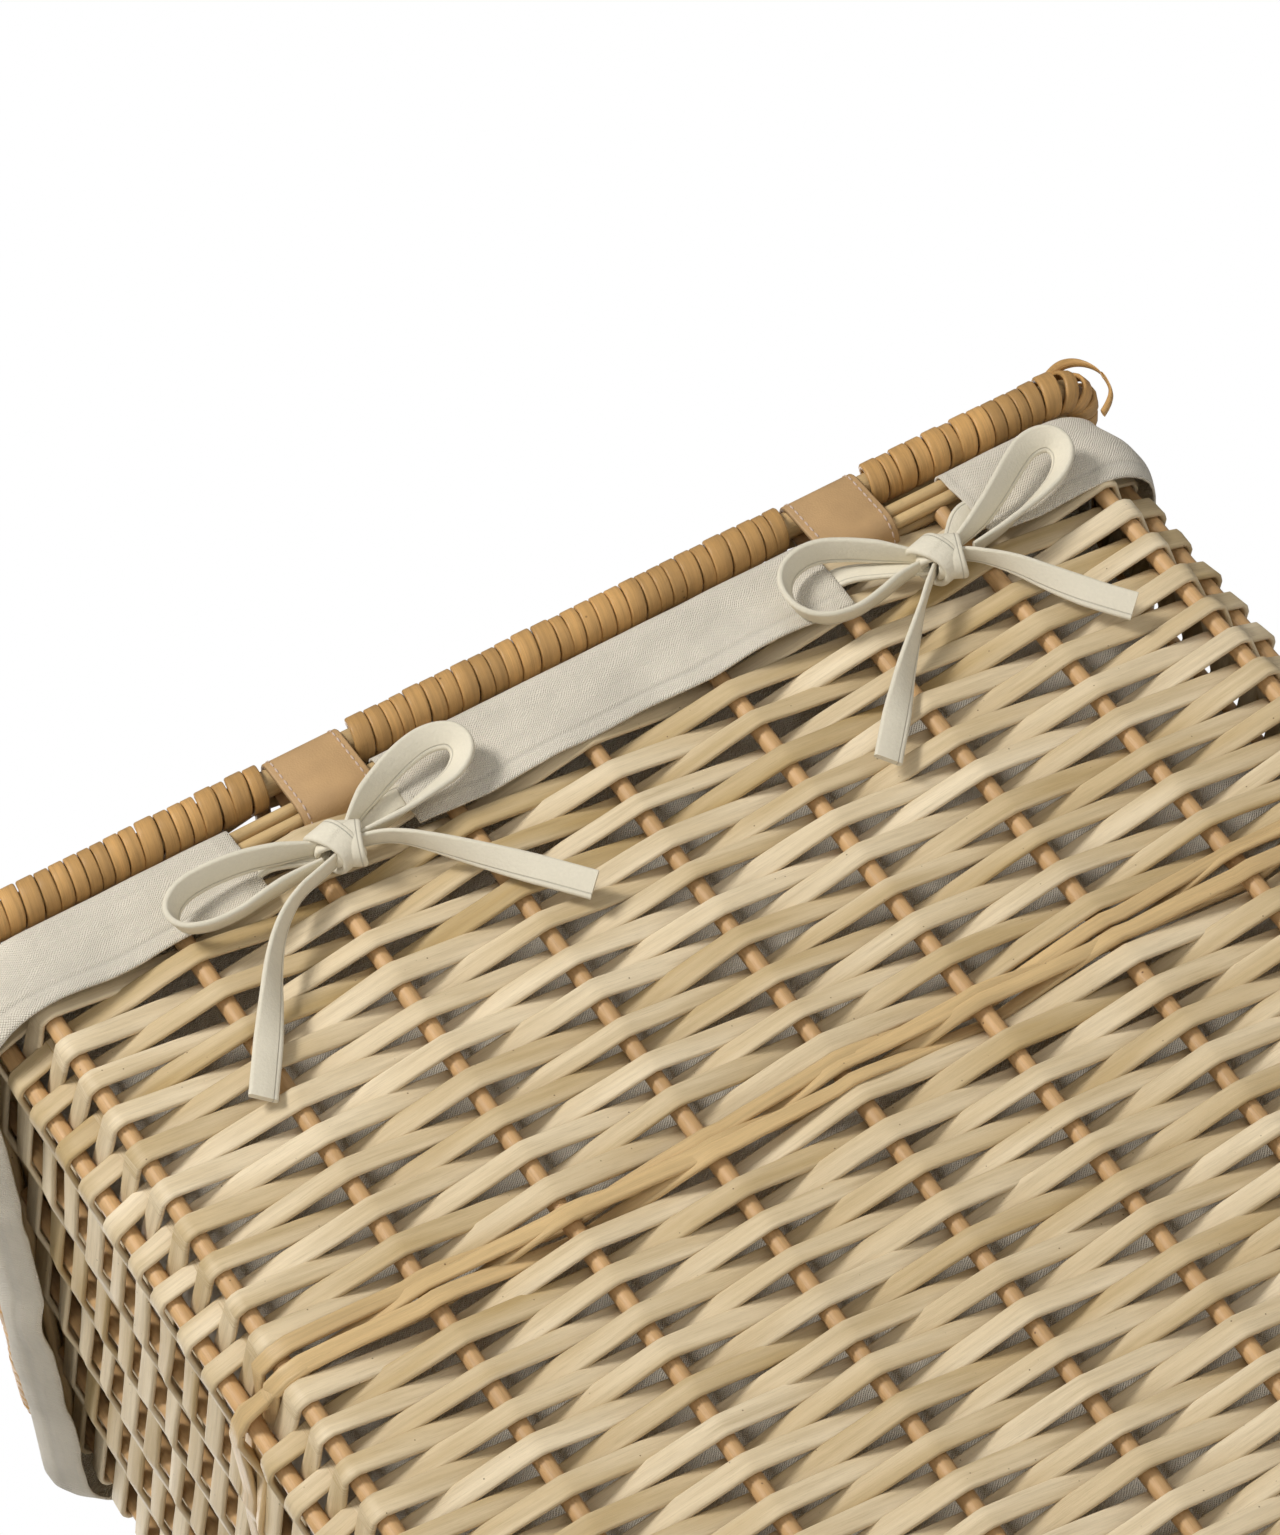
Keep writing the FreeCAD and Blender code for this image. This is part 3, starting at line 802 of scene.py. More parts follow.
def base_panel():
    sizes = bpy.context.scene.basket_sizes
    low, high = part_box("base_panel")
    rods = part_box("base_rods")
    radius = (rods[1][2] - rods[0][2]) / 2
    z = (low[2] + high[2]) / 2
    ys = [BASE_ROD_PITCH * i for i in range(-2, 3)]
    ends = [low[1] + 2 * MM] + ys + [high[1] - 2 * MM]
    thickness = 1.5 * MM
    strands = flat_rows(ends, low[0] + 4 * MM, high[0] - 4 * MM, z, radius, sizes.row_pitch,
                        thickness, 41, False)
    obj = sweep("base_weaving", "Flat strand", strands,
                {"Width": sizes.strip_h, "Thickness": thickness, "Waver": 0.5 * MM},
                finish_for("Split willow"))
    settle(obj, "basket", ["base_panel"])
    lines = [Strand(np.stack([np.linspace(low[0], high[0], 20), np.full(20, y), np.full(20, z)], 1),
                    None, 1.0, 0.2 + 0.1 * i)
             for i, y in enumerate(ys)]
    sticks = sweep("base_sticks", "Round strand", lines, {"Width": 2 * radius, "Waver": 0.4 * MM},
                   finish_for("Stake willow"))
    settle(sticks, "basket", ["base_rods"])


# ---------------------------------------------------------------- lid

def lid_panel():
    sizes = bpy.context.scene.basket_sizes
    low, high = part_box("lid_weave")
    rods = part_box("lid_stakes")
    radius = (rods[1][2] - rods[0][2]) / 2
    xs = [-LONG_X + BAY * i for i in range(BAYS_WIDE + 1)]
    thickness = (high[2] - low[2]) / 2 - radius
    strands = flat_rows([low[0]] + xs + [high[0]], low[1], high[1], LID_Z, radius, sizes.row_pitch,
                        thickness, 51, True)
    obj = sweep("lid_weaving", "Flat strand", strands,
                {"Width": sizes.strip_h, "Thickness": thickness, "Waver": 0.8 * MM,
                 "Waver Scale": 45.0}, finish_for("Split willow"))
    settle(obj, "lid", ["lid_weave"])
    rng = np.random.RandomState(52)
    lines = [Strand(np.stack([np.full(30, x), np.linspace(low[1] - 2 * MM, high[1] + 2 * MM, 30),
                              np.full(30, LID_Z)], 1),
                    None, 1.0, rng.uniform()) for x in xs]
    sticks = sweep("lid_sticks", "Round strand", lines,
                   {"Width": 2 * radius, "Waver": 0.5 * MM, "Waver Scale": 14.0},
                   finish_for("Stake willow"))
    settle(sticks, "lid", ["lid_stakes"])


def lid_outline(step):
    """Centre line of the lid's rim rod, from the middle of the hinge side towards -X."""
    half_y = (WALL_Y - LID_FRONT_Y) / 2
    points, outs, run = rounded_rectangle(LID_X, half_y, LID_CORNER, step)
    points[:, 1] += WALL_Y - half_y
    points[:, 2] += LID_Z
    return points, outs, run


def lid_rim():
    """The rim rod, and cane wound round it except at the hinges."""
    sizes = bpy.context.scene.basket_sizes
    rng = np.random.RandomState(61)
    points, outs, run = lid_outline(RIM_STEP)
    rod = sweep("lid_rim_rod", "Round strand", [Strand(points, None, 1.0, 0.35, True)],
                {"Width": 2 * LID_CORE_R, "Waver": 0.0}, finish_for("Rod willow"))
    settle(rod, "lid", ["lid_frame"])
    total = run[-1] + run[1]
    bare = STRAP_W / 2 + 2.5 * MM
    gaps = [((-x) % total - bare, (-x) % total + bare) for x in (HINGE_X["left"], HINGE_X["right"])]
    gaps.sort()
    stretches = [(gaps[0][1], gaps[1][0]), (gaps[1][1], gaps[0][0] + total)]
    closed_run = np.append(run, total)
    loops = [np.vstack([v, v[:1]]) for v in (points, outs)]
    strands = []
    for start, end in stretches:
        widths = []
        while sum(widths) < end - start:
            widths.append(sizes.cane_w * rng.uniform(0.6, 1.15))
        scale = (end - start) / sum(widths)
        edges = start + np.concatenate([[0], np.cumsum(widths)]) * scale
        per_turn = 20
        turns = np.linspace(0, len(widths), len(widths) * per_turn + 1)
        where = np.interp(turns, np.arange(len(edges)), edges) % total
        centre = np.stack([np.interp(where, closed_run, loops[0][:, i]) for i in range(3)], 1)
        out = unit(np.stack([np.interp(where, closed_run, loops[1][:, i]) for i in range(3)], 1))
        angle = turns * 2 * math.pi + math.pi
        radial = out * np.cos(angle)[:, None] + UP * np.sin(angle)[:, None]
        share = np.interp(turns, np.arange(len(widths)) + 0.5, np.array(widths) / sizes.cane_w)
        reach = LID_WRAP_R - sizes.cane_t * (0.5 + 0.25 * np.clip(1.1 - share, 0, 1))
        for first in range(0, len(widths), 2):
            piece = slice(first * per_turn, min((first + 2) * per_turn + 1, len(turns)))
            strands.append(Strand((centre + radial * reach[:, None])[piece], radial[piece],
                                  (share * 0.93)[piece], rng.uniform()))
    cane = sweep("lid_rim_cane", "Flat strand", strands,
                 {"Width": sizes.cane_w, "Thickness": sizes.cane_t, "Waver": 0.5 * MM,
                  "Waver Scale": 60.0, "Seed": 4.0},
                 finish_for("Cane wrap"))
    settle(cane, "lid",
           ["lid_wrap_back_left", "lid_wrap_back_middle", "lid_wrap_back_right",
                                      "lid_wrap_front", "lid_wrap_left", "lid_wrap_right"])


def rim_end():
    """The last turn of willow, which stands off the rim at the back right corner."""
    spots = [(-211, 141, 6), (-217, 142, 9), (-224, 143, 7), (-228, 144, 0), (-228, 144, -8),
             (-225, 144, -15), (-219, 143, -18)]
    line = np.array(spline_points([(x * MM, y * MM, LID_Z + z * MM) for x, y, z in spots]))
    obj = sweep("lid_rim_end", "Round strand",
                [Strand(line, None, np.linspace(1.0, 0.75, len(line)), 0.4)],
                {"Width": 3.8 * MM, "Waver": 0.0}, finish_for("Cane wrap"))
    settle(obj, "lid")


# ---------------------------------------------------------------- leather hinges

def strap_loop(grow):
    """Side view of a strap: round the border below and the lid's rim rod above, grown outwards."""
    low_r = WALL_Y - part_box("hinge_strap_left")[0][1] - LEATHER_HALF + grow
    high_r = top("hinge_strap_left") - LID_Z - LEATHER_HALF + grow
    reach = LID_Z - BORDER_Z
    lean = math.asin((low_r - high_r) / reach)
    line = []
    for centre, radius, start, end in ((BORDER_Z, low_r, lean, -math.pi - lean),
                                       (LID_Z, high_r, math.pi - lean, lean)):
        for i in range(25):
            angle = start + (end - start) * i / 24
            line.append((radius * math.cos(angle), centre + radius * math.sin(angle)))
    return line


def hinge_straps():
    sizes = bpy.context.scene.basket_sizes
    for side, x in HINGE_X.items():
        def placed(grow, shift, count):
            line = np.array([(x + shift, WALL_Y + a, b) for a, b in strap_loop(grow)])
            loop = np.vstack([line, line[:1]])
            run = np.concatenate([[0], np.cumsum(np.linalg.norm(np.diff(loop, axis=0), axis=1))])
            where = np.arange(count) * run[-1] / count
            return np.stack([np.interp(where, run, loop[:, i]) for i in range(3)], 1)
        path = placed(0.0, 0.0, 72)
        ways = tangents(path, True)
        facing = unit(np.cross(ways, (1.0, 0.0, 0.0)))
        centre = np.array([x, WALL_Y, (LID_Z + BORDER_Z) / 2])
        facing *= np.sign(np.sum(facing * (path - centre), axis=1))[:, None]
        band = sweep("hinge_leather_" + side, "Flat strand", [Strand(path, facing, 1.0, 0.5, True)],
                     {"Width": STRAP_W, "Thickness": sizes.leather_t, "Waver": 0.0},
                     finish_for("Tan leather"))
        settle(band, "hinge_straps", ["hinge_strap_" + side])
        lines = [Strand(placed(sizes.leather_t / 2 + 0.05 * MM, s * (STRAP_W / 2 - 2.4 * MM), 72),
                        None, 1.0, 0.5, True)
                 for s in (-1, 1)]
        seam = sweep("hinge_stitches_" + side, "Stitches", lines,
                     {"Spacing": 3.3 * MM, "Length": 2.5 * MM, "Thread": 0.75 * MM},
                     finish_for("Thread"))
        settle(seam, "hinge_straps")


# ---------------------------------------------------------------- liner

def cloth_mesh(name, grid, across, seam, closed):
    """A sheet from a grid of points [along, across], with a UV map in metres and a seam mark."""
    rows, columns = grid.shape[:2]
    faces = []
    for i in range(rows if closed else rows - 1):
        for j in range(columns - 1):
            a, b = i * columns + j, ((i + 1) % rows) * columns + j
            faces.append((a, b, b + 1, a + 1))
    mesh = bpy.data.meshes.new(name)
    mesh.from_pydata(grid.reshape(-1, 3).tolist(), [], faces)
    steps = np.linalg.norm(np.diff(grid[:, columns // 2], axis=0), axis=1)
    along = np.concatenate([[0], np.cumsum(steps)])
    along = np.append(along, along[-1] + (along[-1] - along[-2]))
    layer = mesh.uv_layers.new(name="cloth")
    values = []
    for index in range(len(faces)):
        i, j = divmod(index, columns - 1)
        values += [(along[i], across[j]), (along[i + 1], across[j]), (along[i + 1], across[j + 1]),
                   (along[i], across[j + 1])]
    layer.data.foreach_set("uv", np.array(values, np.float32).ravel())
    mark = mesh.attributes.new("seam", "FLOAT", "POINT")
    mark.data.foreach_set("value", seam.astype(np.float32).ravel())
    mesh.polygons.foreach_set("use_smooth", [True] * len(mesh.polygons))
    obj = bpy.data.objects.new(name, mesh)
    bpy.context.scene.collection.objects.link(obj)
    return obj


def thickened(obj, thickness, material):
    solid = obj.modifiers.new("thickness", "SOLIDIFY")
    solid.thickness = thickness
    solid.offset = 0
    obj.data.materials.append(material)
    graph = bpy.context.evaluated_depsgraph_get()
    mesh = bpy.data.meshes.new_from_object(obj.evaluated_get(graph))
    obj.modifiers.clear()
    obj.data = mesh
    return obj


def ripple(x, y, z, scale, seed):
    return noise.noise(Vector((x * scale + seed, y * scale, z * scale)))


def cuff_profile():
    """Cross-section of the fold-over, from inside to the hem, as (outwards, height)."""
    outer = CUFF_OUT - 0.6 * MM
    crown = CUFF_TOP - 0.4 * MM
    inner = -BORDER_HALF - 1.2 * MM
    line = [(inner - 1.5 * MM, BORDER_Z - 12 * MM), (inner - 0.6 * MM, BORDER_Z - 5 * MM),
            (inner, BORDER_Z)]
    for i in range(1, 8):
        angle = math.pi - math.pi * i / 8
        mid = (outer + inner) / 2
        line.append((mid + (outer - inner) / 2 * math.cos(angle),
                     BORDER_Z + (crown - BORDER_Z) * math.sin(angle) ** 0.6))
    depth = BORDER_Z - HEM_Z
    line += [(outer + 0.3 * MM * i / 12, BORDER_Z - depth * i / 14) for i in range(15)]
    return np.array(line)


def cuff_sheet(name, start, end, nodes, seed):
    """Fold-over of the liner between two places on the outline.

    Places are measured from the middle of the hinge wall towards -X.
    """
    sizes = bpy.context.scene.basket_sizes
    base, outs, run = rounded_rectangle(POST_X, WALL_Y, CUFF_CORNER, CUFF_STEP)
    total = run[-1] + run[1]
    count = int((end - start) / (3.2 * MM)) + 1
    where = np.linspace(start, end, count)
    looped = np.append(run, total)
    def pick(values):
        closed = np.vstack([values, values[:1]])
        return np.stack([np.interp(where % total, looped, closed[:, i]) for i in range(3)], 1)
    centre, out = pick(base), unit(pick(outs))
    profile = cuff_profile()
    lengths = np.concatenate([[0], np.cumsum(np.linalg.norm(np.diff(profile, axis=0), axis=1))])
    fine = np.linspace(0, lengths[-1], 40)
    reach = np.interp(fine, lengths, profile[:, 0])
    height = np.interp(fine, lengths, profile[:, 1])
    drop = np.clip((BORDER_Z - height) / (BORDER_Z - HEM_Z), 0, 1) * (reach > 0)
    grid = np.zeros((count, len(fine), 3))
    seam = np.zeros((count, len(fine)))
    hem_line = lengths[-1] - sizes.hem
    for i in range(count):
        near = min(where[i] - start, end - where[i])
        flare = 14 * MM * max(0.0, out[i][0]) ** 2 + 4 * MM * max(0.0, -out[i][0]) ** 2
        pulled = math.exp(-(near / (16 * MM)) ** 2)
        lift = 3.4 * MM * ripple(where[i], 0, 0, 10.0, seed)
        lift += 1.5 * MM * ripple(where[i], 1, 0, 34.0, seed)
        for j in range(len(fine)):
            d = drop[j]
            fold = 5.0 * MM * ripple(where[i], height[j] * 0.6, 0, 17.0, seed + 5)
            fold += 2.0 * MM * ripple(where[i], height[j], 2, 42.0, seed)
            fold = fold * d + 0.7 * MM * ripple(where[i], fine[j], 4, 60.0, seed)
            puff = pulled * 1.0 * MM * math.sin(math.pi * min(1, d * 1.1))
            side = reach[j] + fold * 0.5
            if d > 0.15:
                side = max(reach[j] + fold + puff, WEAVE_HALF + 0.8 * MM)
            side += flare * math.sin(min(d, 1) * math.pi * 0.9)
            rise = height[j] + lift * d ** 1.5 + pulled * 0.5 * MM * d ** 2
            grid[i, j] = centre[i] + out[i] * side + UP * rise
            seam[i, j] = max(0.0, 1 - abs(fine[j] - hem_line) / (0.9 * MM))
        if near < 5 * MM:
            seam[i] = np.maximum(seam[i], 1 - abs(near - 3 * MM) / (2 * MM))
    obj = thickened(cloth_mesh(name, grid, fine, seam, False), sizes.cloth_t,
                    finish_for("Liner cotton"))
    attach(obj, "basket")
    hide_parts(*nodes)
    return obj


def liner():
    sizes = bpy.context.scene.basket_sizes
    run = rounded_rectangle(POST_X, WALL_Y, CUFF_CORNER, CUFF_STEP)[2]
    total = run[-1] + run[1]
    cuff_sheet("cuff_back_middle", -SLITS["left"][0], -SLITS["right"][1],
               ["liner_cuff_back_middle"], 3.3)
    cuff_sheet("cuff_around", -SLITS["right"][0], total - SLITS["left"][1],
               ["liner_cuff_back_left", "liner_cuff_back_right", "liner_cuff_front",
                "liner_cuff_left", "liner_cuff_right"], 9.1)
    bag(sizes)


def bag(sizes):
    """Liner bag: loose walls inside the weaving and a floor."""
    low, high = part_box("liner_bag")
    points, outs, run = rounded_rectangle(high[0], high[1], BAG_CORNER, COARSE_STEP)
    heights = np.linspace(high[2] - 0.4 * MM, low[2] + 0.8 * MM, 46)
    count = len(points)
    floor = [0.96, 0.88, 0.76, 0.62, 0.48, 0.34, 0.2, 0.08]
    grid = np.zeros((count, len(heights) + len(floor), 3))
    for i in range(count):
        for j, z in enumerate(heights):
            loose = 2.5 * MM + 2.4 * MM * ripple(run[i], z * 0.3, 0, 16.0, 1.7)
            loose += 1.2 * MM * ripple(run[i], z, 3, 33.0, 4.0)
            inward = 8 * MM * min(1, j / 6) + loose * min(1, j / 4)
            grid[i, j] = points[i] - outs[i] * max(inward, 0.6 * MM) + UP * z
        for j, share in enumerate(floor):
            x, y = points[i][0] * share, points[i][1] * share
            level = low[2] + 1.2 * MM + 0.9 * MM * (1 + ripple(x, y, 0, 30.0, 2.0))
            grid[i, len(heights) + j] = (x, y, level)
    across = np.concatenate([[0], np.cumsum(np.linalg.norm(np.diff(grid[0], axis=0), axis=1))])
    seam = np.zeros(grid.shape[:2])
    obj = cloth_mesh("liner_cloth_bag", grid, across, seam, True)
    ring = [i * grid.shape[1] + grid.shape[1] - 1 for i in range(count)]
    mesh = obj.data
    fill = bpy.data.meshes.new("liner_cloth_bag")
    vertices = [v.co[:] for v in mesh.vertices]
    faces = [tuple(p.vertices) for p in mesh.polygons] + [tuple(ring)]
    fill.from_pydata(vertices, [], faces)
    layer = fill.uv_layers.new(name="cloth")
    uv = np.zeros(len(mesh.loops) * 2, np.float32)
    mesh.uv_layers[0].data.foreach_get("uv", uv)
    ring_uv = np.array([vertices[i][:2] for i in ring], np.float32).ravel()
    layer.data.foreach_set("uv", np.concatenate([uv, ring_uv]))
    fill.attributes.new("seam", "FLOAT", "POINT")
    fill.polygons.foreach_set("use_smooth", [True] * len(fill.polygons))
    obj.data = fill
    thickened(obj, sizes.cloth_t, finish_for("Bag cotton"))
    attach(obj, "basket")
    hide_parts("liner_bag")


# ---------------------------------------------------------------- bows

# Tape routes from the middle of each knot: sideways, up and outwards, in millimetres.
# A loop leaves the knot, turns round and comes back; a tail ends free. Each has the
# tape's length along the route and how far it twists, in radians, before its points.
BOWS = {
    "left": {
        "loop_left": (117, 0.35, [
            (4, 1, 0), (12, 4, 1), (22, 7, 2), (32, 9, 3), (43, 10, 3), (53, 9, 3),
            (60, 4, 2), (59, -3, 1), (51, -7, 1), (40, -7, 0), (29, -5, 0), (18, -4, 0),
            (8, -4, 0)]),
        "loop_right": (108, 0.95, [
            (-4, 3, 0), (-12, 9, 1), (-23, 14, 2), (-34, 18, 3), (-44, 20, 3), (-52, 17, 3),
            (-53, 10, 2), (-46, 4, 1), (-36, 2, 1), (-25, 0, 0), (-15, -1, 0), (-6, -1, 0)]),
        "tail_left": (95, 1.15, [
            (3, -5, 0), (11, -8, 1), (21, -11, 1), (31, -18, 0), (40, -29, -1), (48, -42, -2),
            (57, -56, -3), (67, -71, -4)]),
        "tail_right": (82, 1.15, [
            (-3, -2, 0), (-10, -4, 1), (-18, -9, 2), (-27, -18, 1), (-36, -28, 0), (-45, -38, -1),
            (-54, -48, -2), (-62, -57, -3)]),
    },
    "right": {
        "loop_left": (118, 0.35, [
            (4, 2, 0), (12, 9, 1), (23, 17, 2), (35, 23, 3), (46, 21, 3), (52, 14, 3),
            (52, 4, 2), (46, -3, 1), (35, -5, 0), (24, -3, 0), (13, 0, 0), (4, 0, 0)]),
        "loop_right": (117, 0.8, [
            (-5, 1, 0), (-13, 3, 1), (-23, 7, 2), (-32, 12, 3), (-41, 18, 3), (-50, 23, 3),
            (-58, 22, 3), (-60, 15, 2), (-54, 8, 1), (-44, 4, 0), (-33, 1, 0), (-22, -2, 0),
            (-12, -3, 0)]),
        "tail_left": (79, 1.15, [
            (3, -3, 0), (10, -9, 1), (18, -17, 0), (26, -25, -1), (34, -33, -2), (42, -42, -3),
            (50, -51, -3), (58, -60, -4)]),
        "tail_right": (67, 1.15, [
            (-2, 0, 0), (-8, -4, 1), (-14, -10, 1), (-20, -18, 1), (-25, -26, 0), (-31, -35, -1),
            (-37, -43, -2), (-44, -51, -3)]),
    },
}
KNOT_LIFT = {"left": 2.6 * MM, "right": -2.4 * MM}


def turned_about(vector, axis, angle):
    along = axis * np.dot(axis, vector) * (1 - math.cos(angle))
    return vector * math.cos(angle) + np.cross(axis, vector) * math.sin(angle) + along


def bows():
    sizes = bpy.context.scene.basket_sizes
    for side, routes in BOWS.items():
        x, z = KNOTS[side]
        heart = np.array([x, TAPE_Y, z + KNOT_LIFT[side]])
        for index, (label, (length, twist, route)) in enumerate(routes.items()):
            looped = label.startswith("loop")
            hand = 1 if label.endswith("left") else -1
            line = np.array(spline_points([heart + np.array([a, c, b]) * MM for a, b, c in route]))
            ways = tangents(line, False)
            run = np.concatenate([[0], np.cumsum(np.linalg.norm(np.diff(line, axis=0), axis=1))])
            share = run / run[-1]
            if looped:
                turn = hand * (0.05 + twist * np.sin(share * math.pi))
                girth = 0.92 * np.clip(0.6 + np.minimum(share, 1 - share) * 3.0, 0, 1)
            else:
                turn = hand * np.clip(share * 1.7 - 0.35, 0, 1) * twist
                girth = 0.62 + 0.34 * np.clip(share * 1.3, 0, 1)
            edge_on = unit(np.cross(ways, (0.0, 1.0, 0.0)))
            facing = np.array([turned_about(f, w, t) for f, w, t in zip(edge_on, ways, turn)])
            obj = sweep("bow_" + side + "_tape_" + label, "Flat strand",
                        [Strand(line, facing, girth, 0.2 + 0.15 * index)],
                        {"Width": sizes.tape_w, "Thickness": sizes.tape_t, "Waver": 0.0},
                        finish_for("Tape cotton"))
            settle(obj, "basket", ["bow_" + side + "_" + label])
        knot(side, heart, sizes)


def knot(side, heart, sizes):
    """The middle of a bow: tape wound over the crossing strands, and the ties that it joins."""
    strands = []
    for tilt, out_r, up_r, shift in ((0.25, 6.2, 8.2, 1.5), (-0.5, 5.2, 7.2, -3.2),
                                     (1.0, 4.4, 6.6, -0.5)):
        spin = Matrix.Rotation(tilt, 3, "Y")
        path, facing = [], []
        angles = np.linspace(0, 2 * math.pi, 40, endpoint=False)
        for angle in angles:
            radial = unit((0.0, math.cos(angle) / out_r, math.sin(angle) / up_r))
            point = Vector((shift + 1.2 * math.sin(angle), math.cos(angle) * out_r,
                            math.sin(angle) * up_r)) * MM
            path.append(heart + np.array(spin @ point))
            facing.append(np.array(spin @ Vector(radial)))
        strands.append(Strand(path, facing, 0.94 + 0.08 * np.sin(angles * 2 + tilt),
                              0.3 + tilt * 0.2, True))
    for edge, hand in zip(SLITS[side], (-1, 1)):
        spots = [np.array([edge + hand * 3 * MM, WALL_Y + CUFF_OUT - 1 * MM, HEM_Z + 13 * MM]),
                 np.array([edge - hand * 2 * MM, WALL_Y + CUFF_OUT + 1 * MM, HEM_Z + 14 * MM]),
                 np.array([(edge + heart[0]) / 2, WALL_Y + CUFF_OUT + 1.5 * MM,
                           (HEM_Z + 14 * MM + heart[2]) / 2]),
                 heart + np.array([hand * 4, -2.5, -1.0]) * MM]
        line = np.array(spline_points(spots))
        facing = np.tile((0.0, 1.0, 0.2 * hand), (len(line), 1))
        strands.append(Strand(line, facing, np.linspace(0.95, 0.6, len(line)), 0.4))
    obj = sweep("bow_" + side + "_knot_tape", "Flat strand", strands,
                {"Width": sizes.tape_w, "Thickness": sizes.tape_t, "Waver": 0.5 * MM,
                 "Waver Scale": 80.0}, finish_for("Tape cotton"))
    settle(obj, "basket", ["bow_" + side + "_knot"])


# ---------------------------------------------------------------- stage

def pale_floor(colour):
    """Floor that is seen from above only, so that a low camera looks up through it."""
    material = bpy.data.materials.new("Pale floor")
    material.use_nodes = True
    material.node_tree.nodes.clear()
    build = NodeTree(material.node_tree)
    paint = build.add("ShaderNodeBsdfPrincipled", {"Base Color": (*colour, 1), "Roughness": 0.9})
    clear = build.add("ShaderNodeBsdfTransparent")
    under = build.add("ShaderNodeNewGeometry").outputs["Backfacing"]
    mix = build.add("ShaderNodeMixShader", {0: under, 1: paint.outputs[0], 2: clear.outputs[0]})
    build.add("ShaderNodeOutputMaterial", {"Surface": mix.outputs[0]})
    return material


def area_light(name, place, target, size, power, tone=(1, 1, 1)):
    light = bpy.data.lights.new(name, "AREA")
    light.size = size
    light.energy = power
    light.color = tone
    obj = bpy.data.objects.new(name, light)
    obj.location = place
    obj.rotation_euler = (Vector(target) - Vector(place)).to_track_quat("-Z", "Y").to_euler()
    bpy.context.scene.collection.objects.link(obj)
    return obj


def studio_world(light):
    """White to look at, and softer as a light."""
    world = bpy.data.worlds.new("studio")
    world.use_nodes = True
    world.node_tree.nodes.clear()
    build = NodeTree(world.node_tree)
    soft = build.add("ShaderNodeBackground", {"Color": (1, 1, 1, 1), "Strength": light})
    white = build.add("ShaderNodeBackground", {"Color": (1, 1, 1, 1), "Strength": 1.0})
    seen = build.add("ShaderNodeLightPath").outputs["Is Camera Ray"]
    mix = build.add("ShaderNodeMixShader", {0: seen, 1: soft.outputs[0], 2: white.outputs[0]})
    build.add("ShaderNodeOutputWorld", {"Surface": mix.outputs[0]})
    return world


def stage():
    """Floor, soft light and the camera, which looks at the hinge wall from below and is rolled."""
    scene = bpy.context.scene
    mesh = bpy.data.meshes.new("floor")
    reach = 6.0
    mesh.from_pydata([(-reach, -reach, 0), (reach, -reach, 0), (reach, reach, 0),
                      (-reach, reach, 0)], [], [(0, 1, 2, 3)])
    floor = bpy.data.objects.new("floor", mesh)
    mesh.materials.append(pale_floor(tuple(scene.basket_colours.floor)))
    scene.collection.objects.link(floor)
    aim = Vector((-9.1 * MM, WALL_Y, LID_Z - 60.8 * MM))
    lights = [
        area_light("key", (1.5, 2.5, 1.9), aim, 0.8, 78, (1.0, 0.985, 0.955)),
        area_light("fill", (-1.6, 1.9, 0.2), aim, 1.8, 7),
        area_light("front", (0.6, -2.2, 1.6), (0, 0, 0.3), 1.8, 26),
    ]
    scene.world = studio_world(0.19)
    scene.view_settings.view_transform = "Standard"
    azimuth, elevation, roll = (math.radians(v) for v in (19.504, -32.637, -37.645))
    distance = 1.902
    towards = Vector((math.sin(azimuth) * math.cos(elevation),
                      math.cos(azimuth) * math.cos(elevation), math.sin(elevation)))
    data = bpy.data.cameras.new("camera")
    data.sensor_fit = "VERTICAL"
    data.sensor_height = 36
    data.lens = 136.5
    camera = bpy.data.objects.new("camera", data)
    camera.location = aim + towards * distance
    facing = (-towards).to_track_quat("-Z", "Y").to_matrix()
    camera.rotation_euler = (facing @ Matrix.Rotation(roll, 3, "Z")).to_euler()
    scene.collection.objects.link(camera)
    scene.camera = camera


# ---------------------------------------------------------------- operators and panel

class BASKET_OT_stage(bpy.types.Operator):
    """Adds the floor, the lights and the camera"""
    bl_idname = "basket.stage"
    bl_label = "Stage"

    def execute(self, context):
        stage()
        return {"FINISHED"}


class BASKET_OT_bows(bpy.types.Operator):
    """Ties the two tape bows under the hinges"""
    bl_idname = "basket.bows"
    bl_label = "Bows"

    def execute(self, context):
        bows()
        return {"FINISHED"}


class BASKET_OT_walls(bpy.types.Operator):
    """Weaves the walls from split willow"""
    bl_idname = "basket.walls"
    bl_label = "Walls"

    def execute(self, context):
        weave_walls()
        return {"FINISHED"}


class BASKET_OT_stakes(bpy.types.Operator):
    """Sets the upright stakes and corner posts"""
    bl_idname = "basket.stakes"
    bl_label = "Stakes"

    def execute(self, context):
        uprights()
        return {"FINISHED"}


class BASKET_OT_wale(bpy.types.Operator):
    """Lays the thin strands round the middle"""
    bl_idname = "basket.wale"
    bl_label = "Middle wale"

    def execute(self, context):
        middle_wale()
        return {"FINISHED"}


class BASKET_OT_borders(bpy.types.Operator):
    """Lays the rods of the top and foot borders"""
    bl_idname = "basket.borders"
    bl_label = "Borders"

    def execute(self, context):
        borders()
        return {"FINISHED"}


class BASKET_OT_base(bpy.types.Operator):
    """Weaves the base panel"""
    bl_idname = "basket.base"
    bl_label = "Base"

    def execute(self, context):
        base_panel()
        return {"FINISHED"}


class BASKET_OT_lid_panel(bpy.types.Operator):
    """Weaves the lid"""
    bl_idname = "basket.lid_panel"
    bl_label = "Lid panel"

    def execute(self, context):
        lid_panel()
        return {"FINISHED"}


class BASKET_OT_lid_rim(bpy.types.Operator):
    """Winds cane round the lid's rim rod"""
    bl_idname = "basket.lid_rim"
    bl_label = "Lid rim"

    def execute(self, context):
        lid_rim()
        return {"FINISHED"}


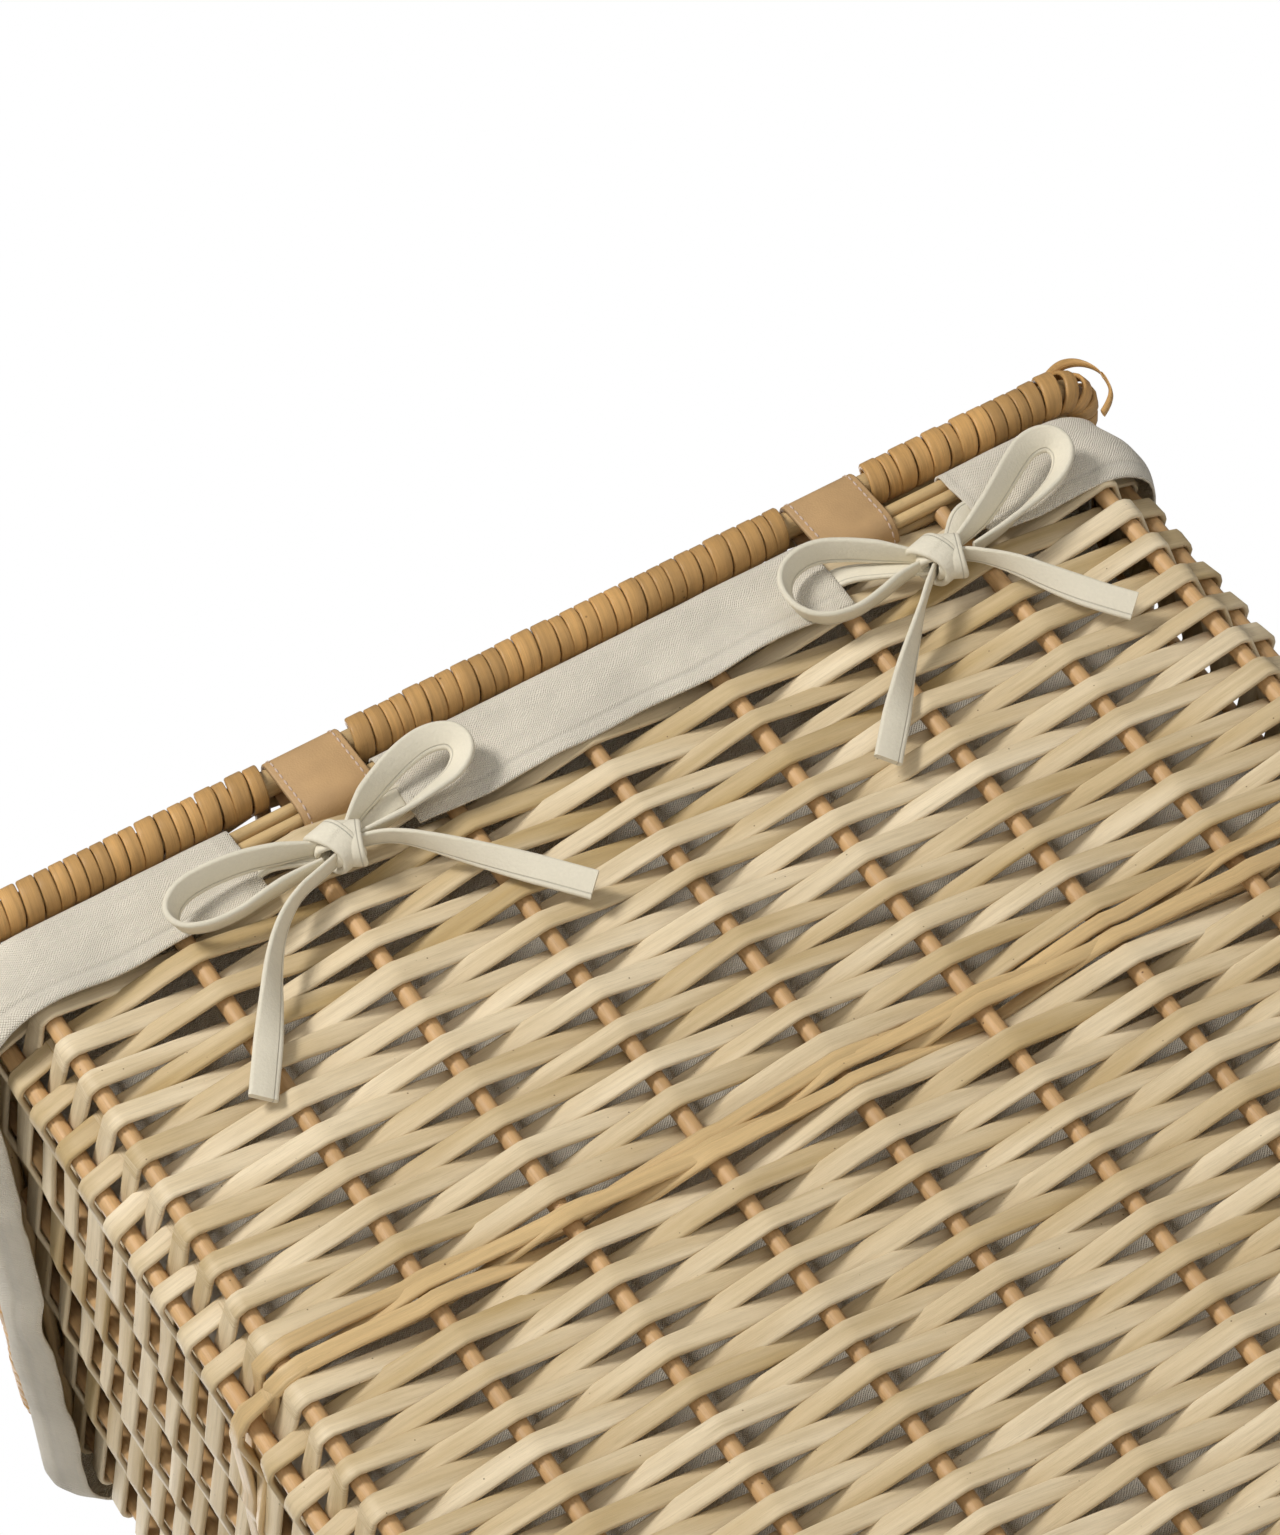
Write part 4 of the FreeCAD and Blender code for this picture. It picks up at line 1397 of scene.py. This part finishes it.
class BASKET_OT_rim_end(bpy.types.Operator):
    """Adds the loose end of willow at the lid's corner"""
    bl_idname = "basket.rim_end"
    bl_label = "Rim end"

    def execute(self, context):
        rim_end()
        return {"FINISHED"}


class BASKET_OT_hinges(bpy.types.Operator):
    """Makes the leather loops and their stitching"""
    bl_idname = "basket.hinges"
    bl_label = "Hinge straps"

    def execute(self, context):
        hinge_straps()
        return {"FINISHED"}


class BASKET_OT_liner(bpy.types.Operator):
    """Sews the liner bag and its fold-over"""
    bl_idname = "basket.liner"
    bl_label = "Liner"

    def execute(self, context):
        liner()
        return {"FINISHED"}


OPERATORS = [BASKET_OT_stage, BASKET_OT_bows, BASKET_OT_walls, BASKET_OT_stakes,
             BASKET_OT_wale, BASKET_OT_borders, BASKET_OT_base, BASKET_OT_lid_panel,
             BASKET_OT_lid_rim, BASKET_OT_rim_end, BASKET_OT_hinges, BASKET_OT_liner]


class BASKET_PT_panel(bpy.types.Panel):
    """Sizes, colours and buttons of the basket."""
    bl_idname = "BASKET_PT_panel"
    bl_label = "Woven laundry basket"
    bl_space_type = "VIEW_3D"
    bl_region_type = "UI"
    bl_category = "Basket"

    def draw(self, context):
        for group in (context.scene.basket_sizes, context.scene.basket_colours):
            box = self.layout.box()
            for name in group.bl_rna.properties.keys():
                if name not in ("rna_type", "name"):
                    box.prop(group, name)
        for kind in OPERATORS:
            self.layout.operator(kind.bl_idname)


CLASSES = [BasketSizes, BasketColours, *OPERATORS, BASKET_PT_panel]


def register():
    for kind in CLASSES:
        bpy.utils.register_class(kind)
    bpy.types.Scene.basket_sizes = bpy.props.PointerProperty(type=BasketSizes)
    bpy.types.Scene.basket_colours = bpy.props.PointerProperty(type=BasketColours)


def unregister():
    del bpy.types.Scene.basket_colours
    del bpy.types.Scene.basket_sizes
    for kind in reversed(CLASSES):
        bpy.utils.unregister_class(kind)


def main():
    register()
    for kind in OPERATORS:
        area, name = kind.bl_idname.split(".")
        getattr(getattr(bpy.ops, area), name)()


if __name__ == "__main__":
    main()
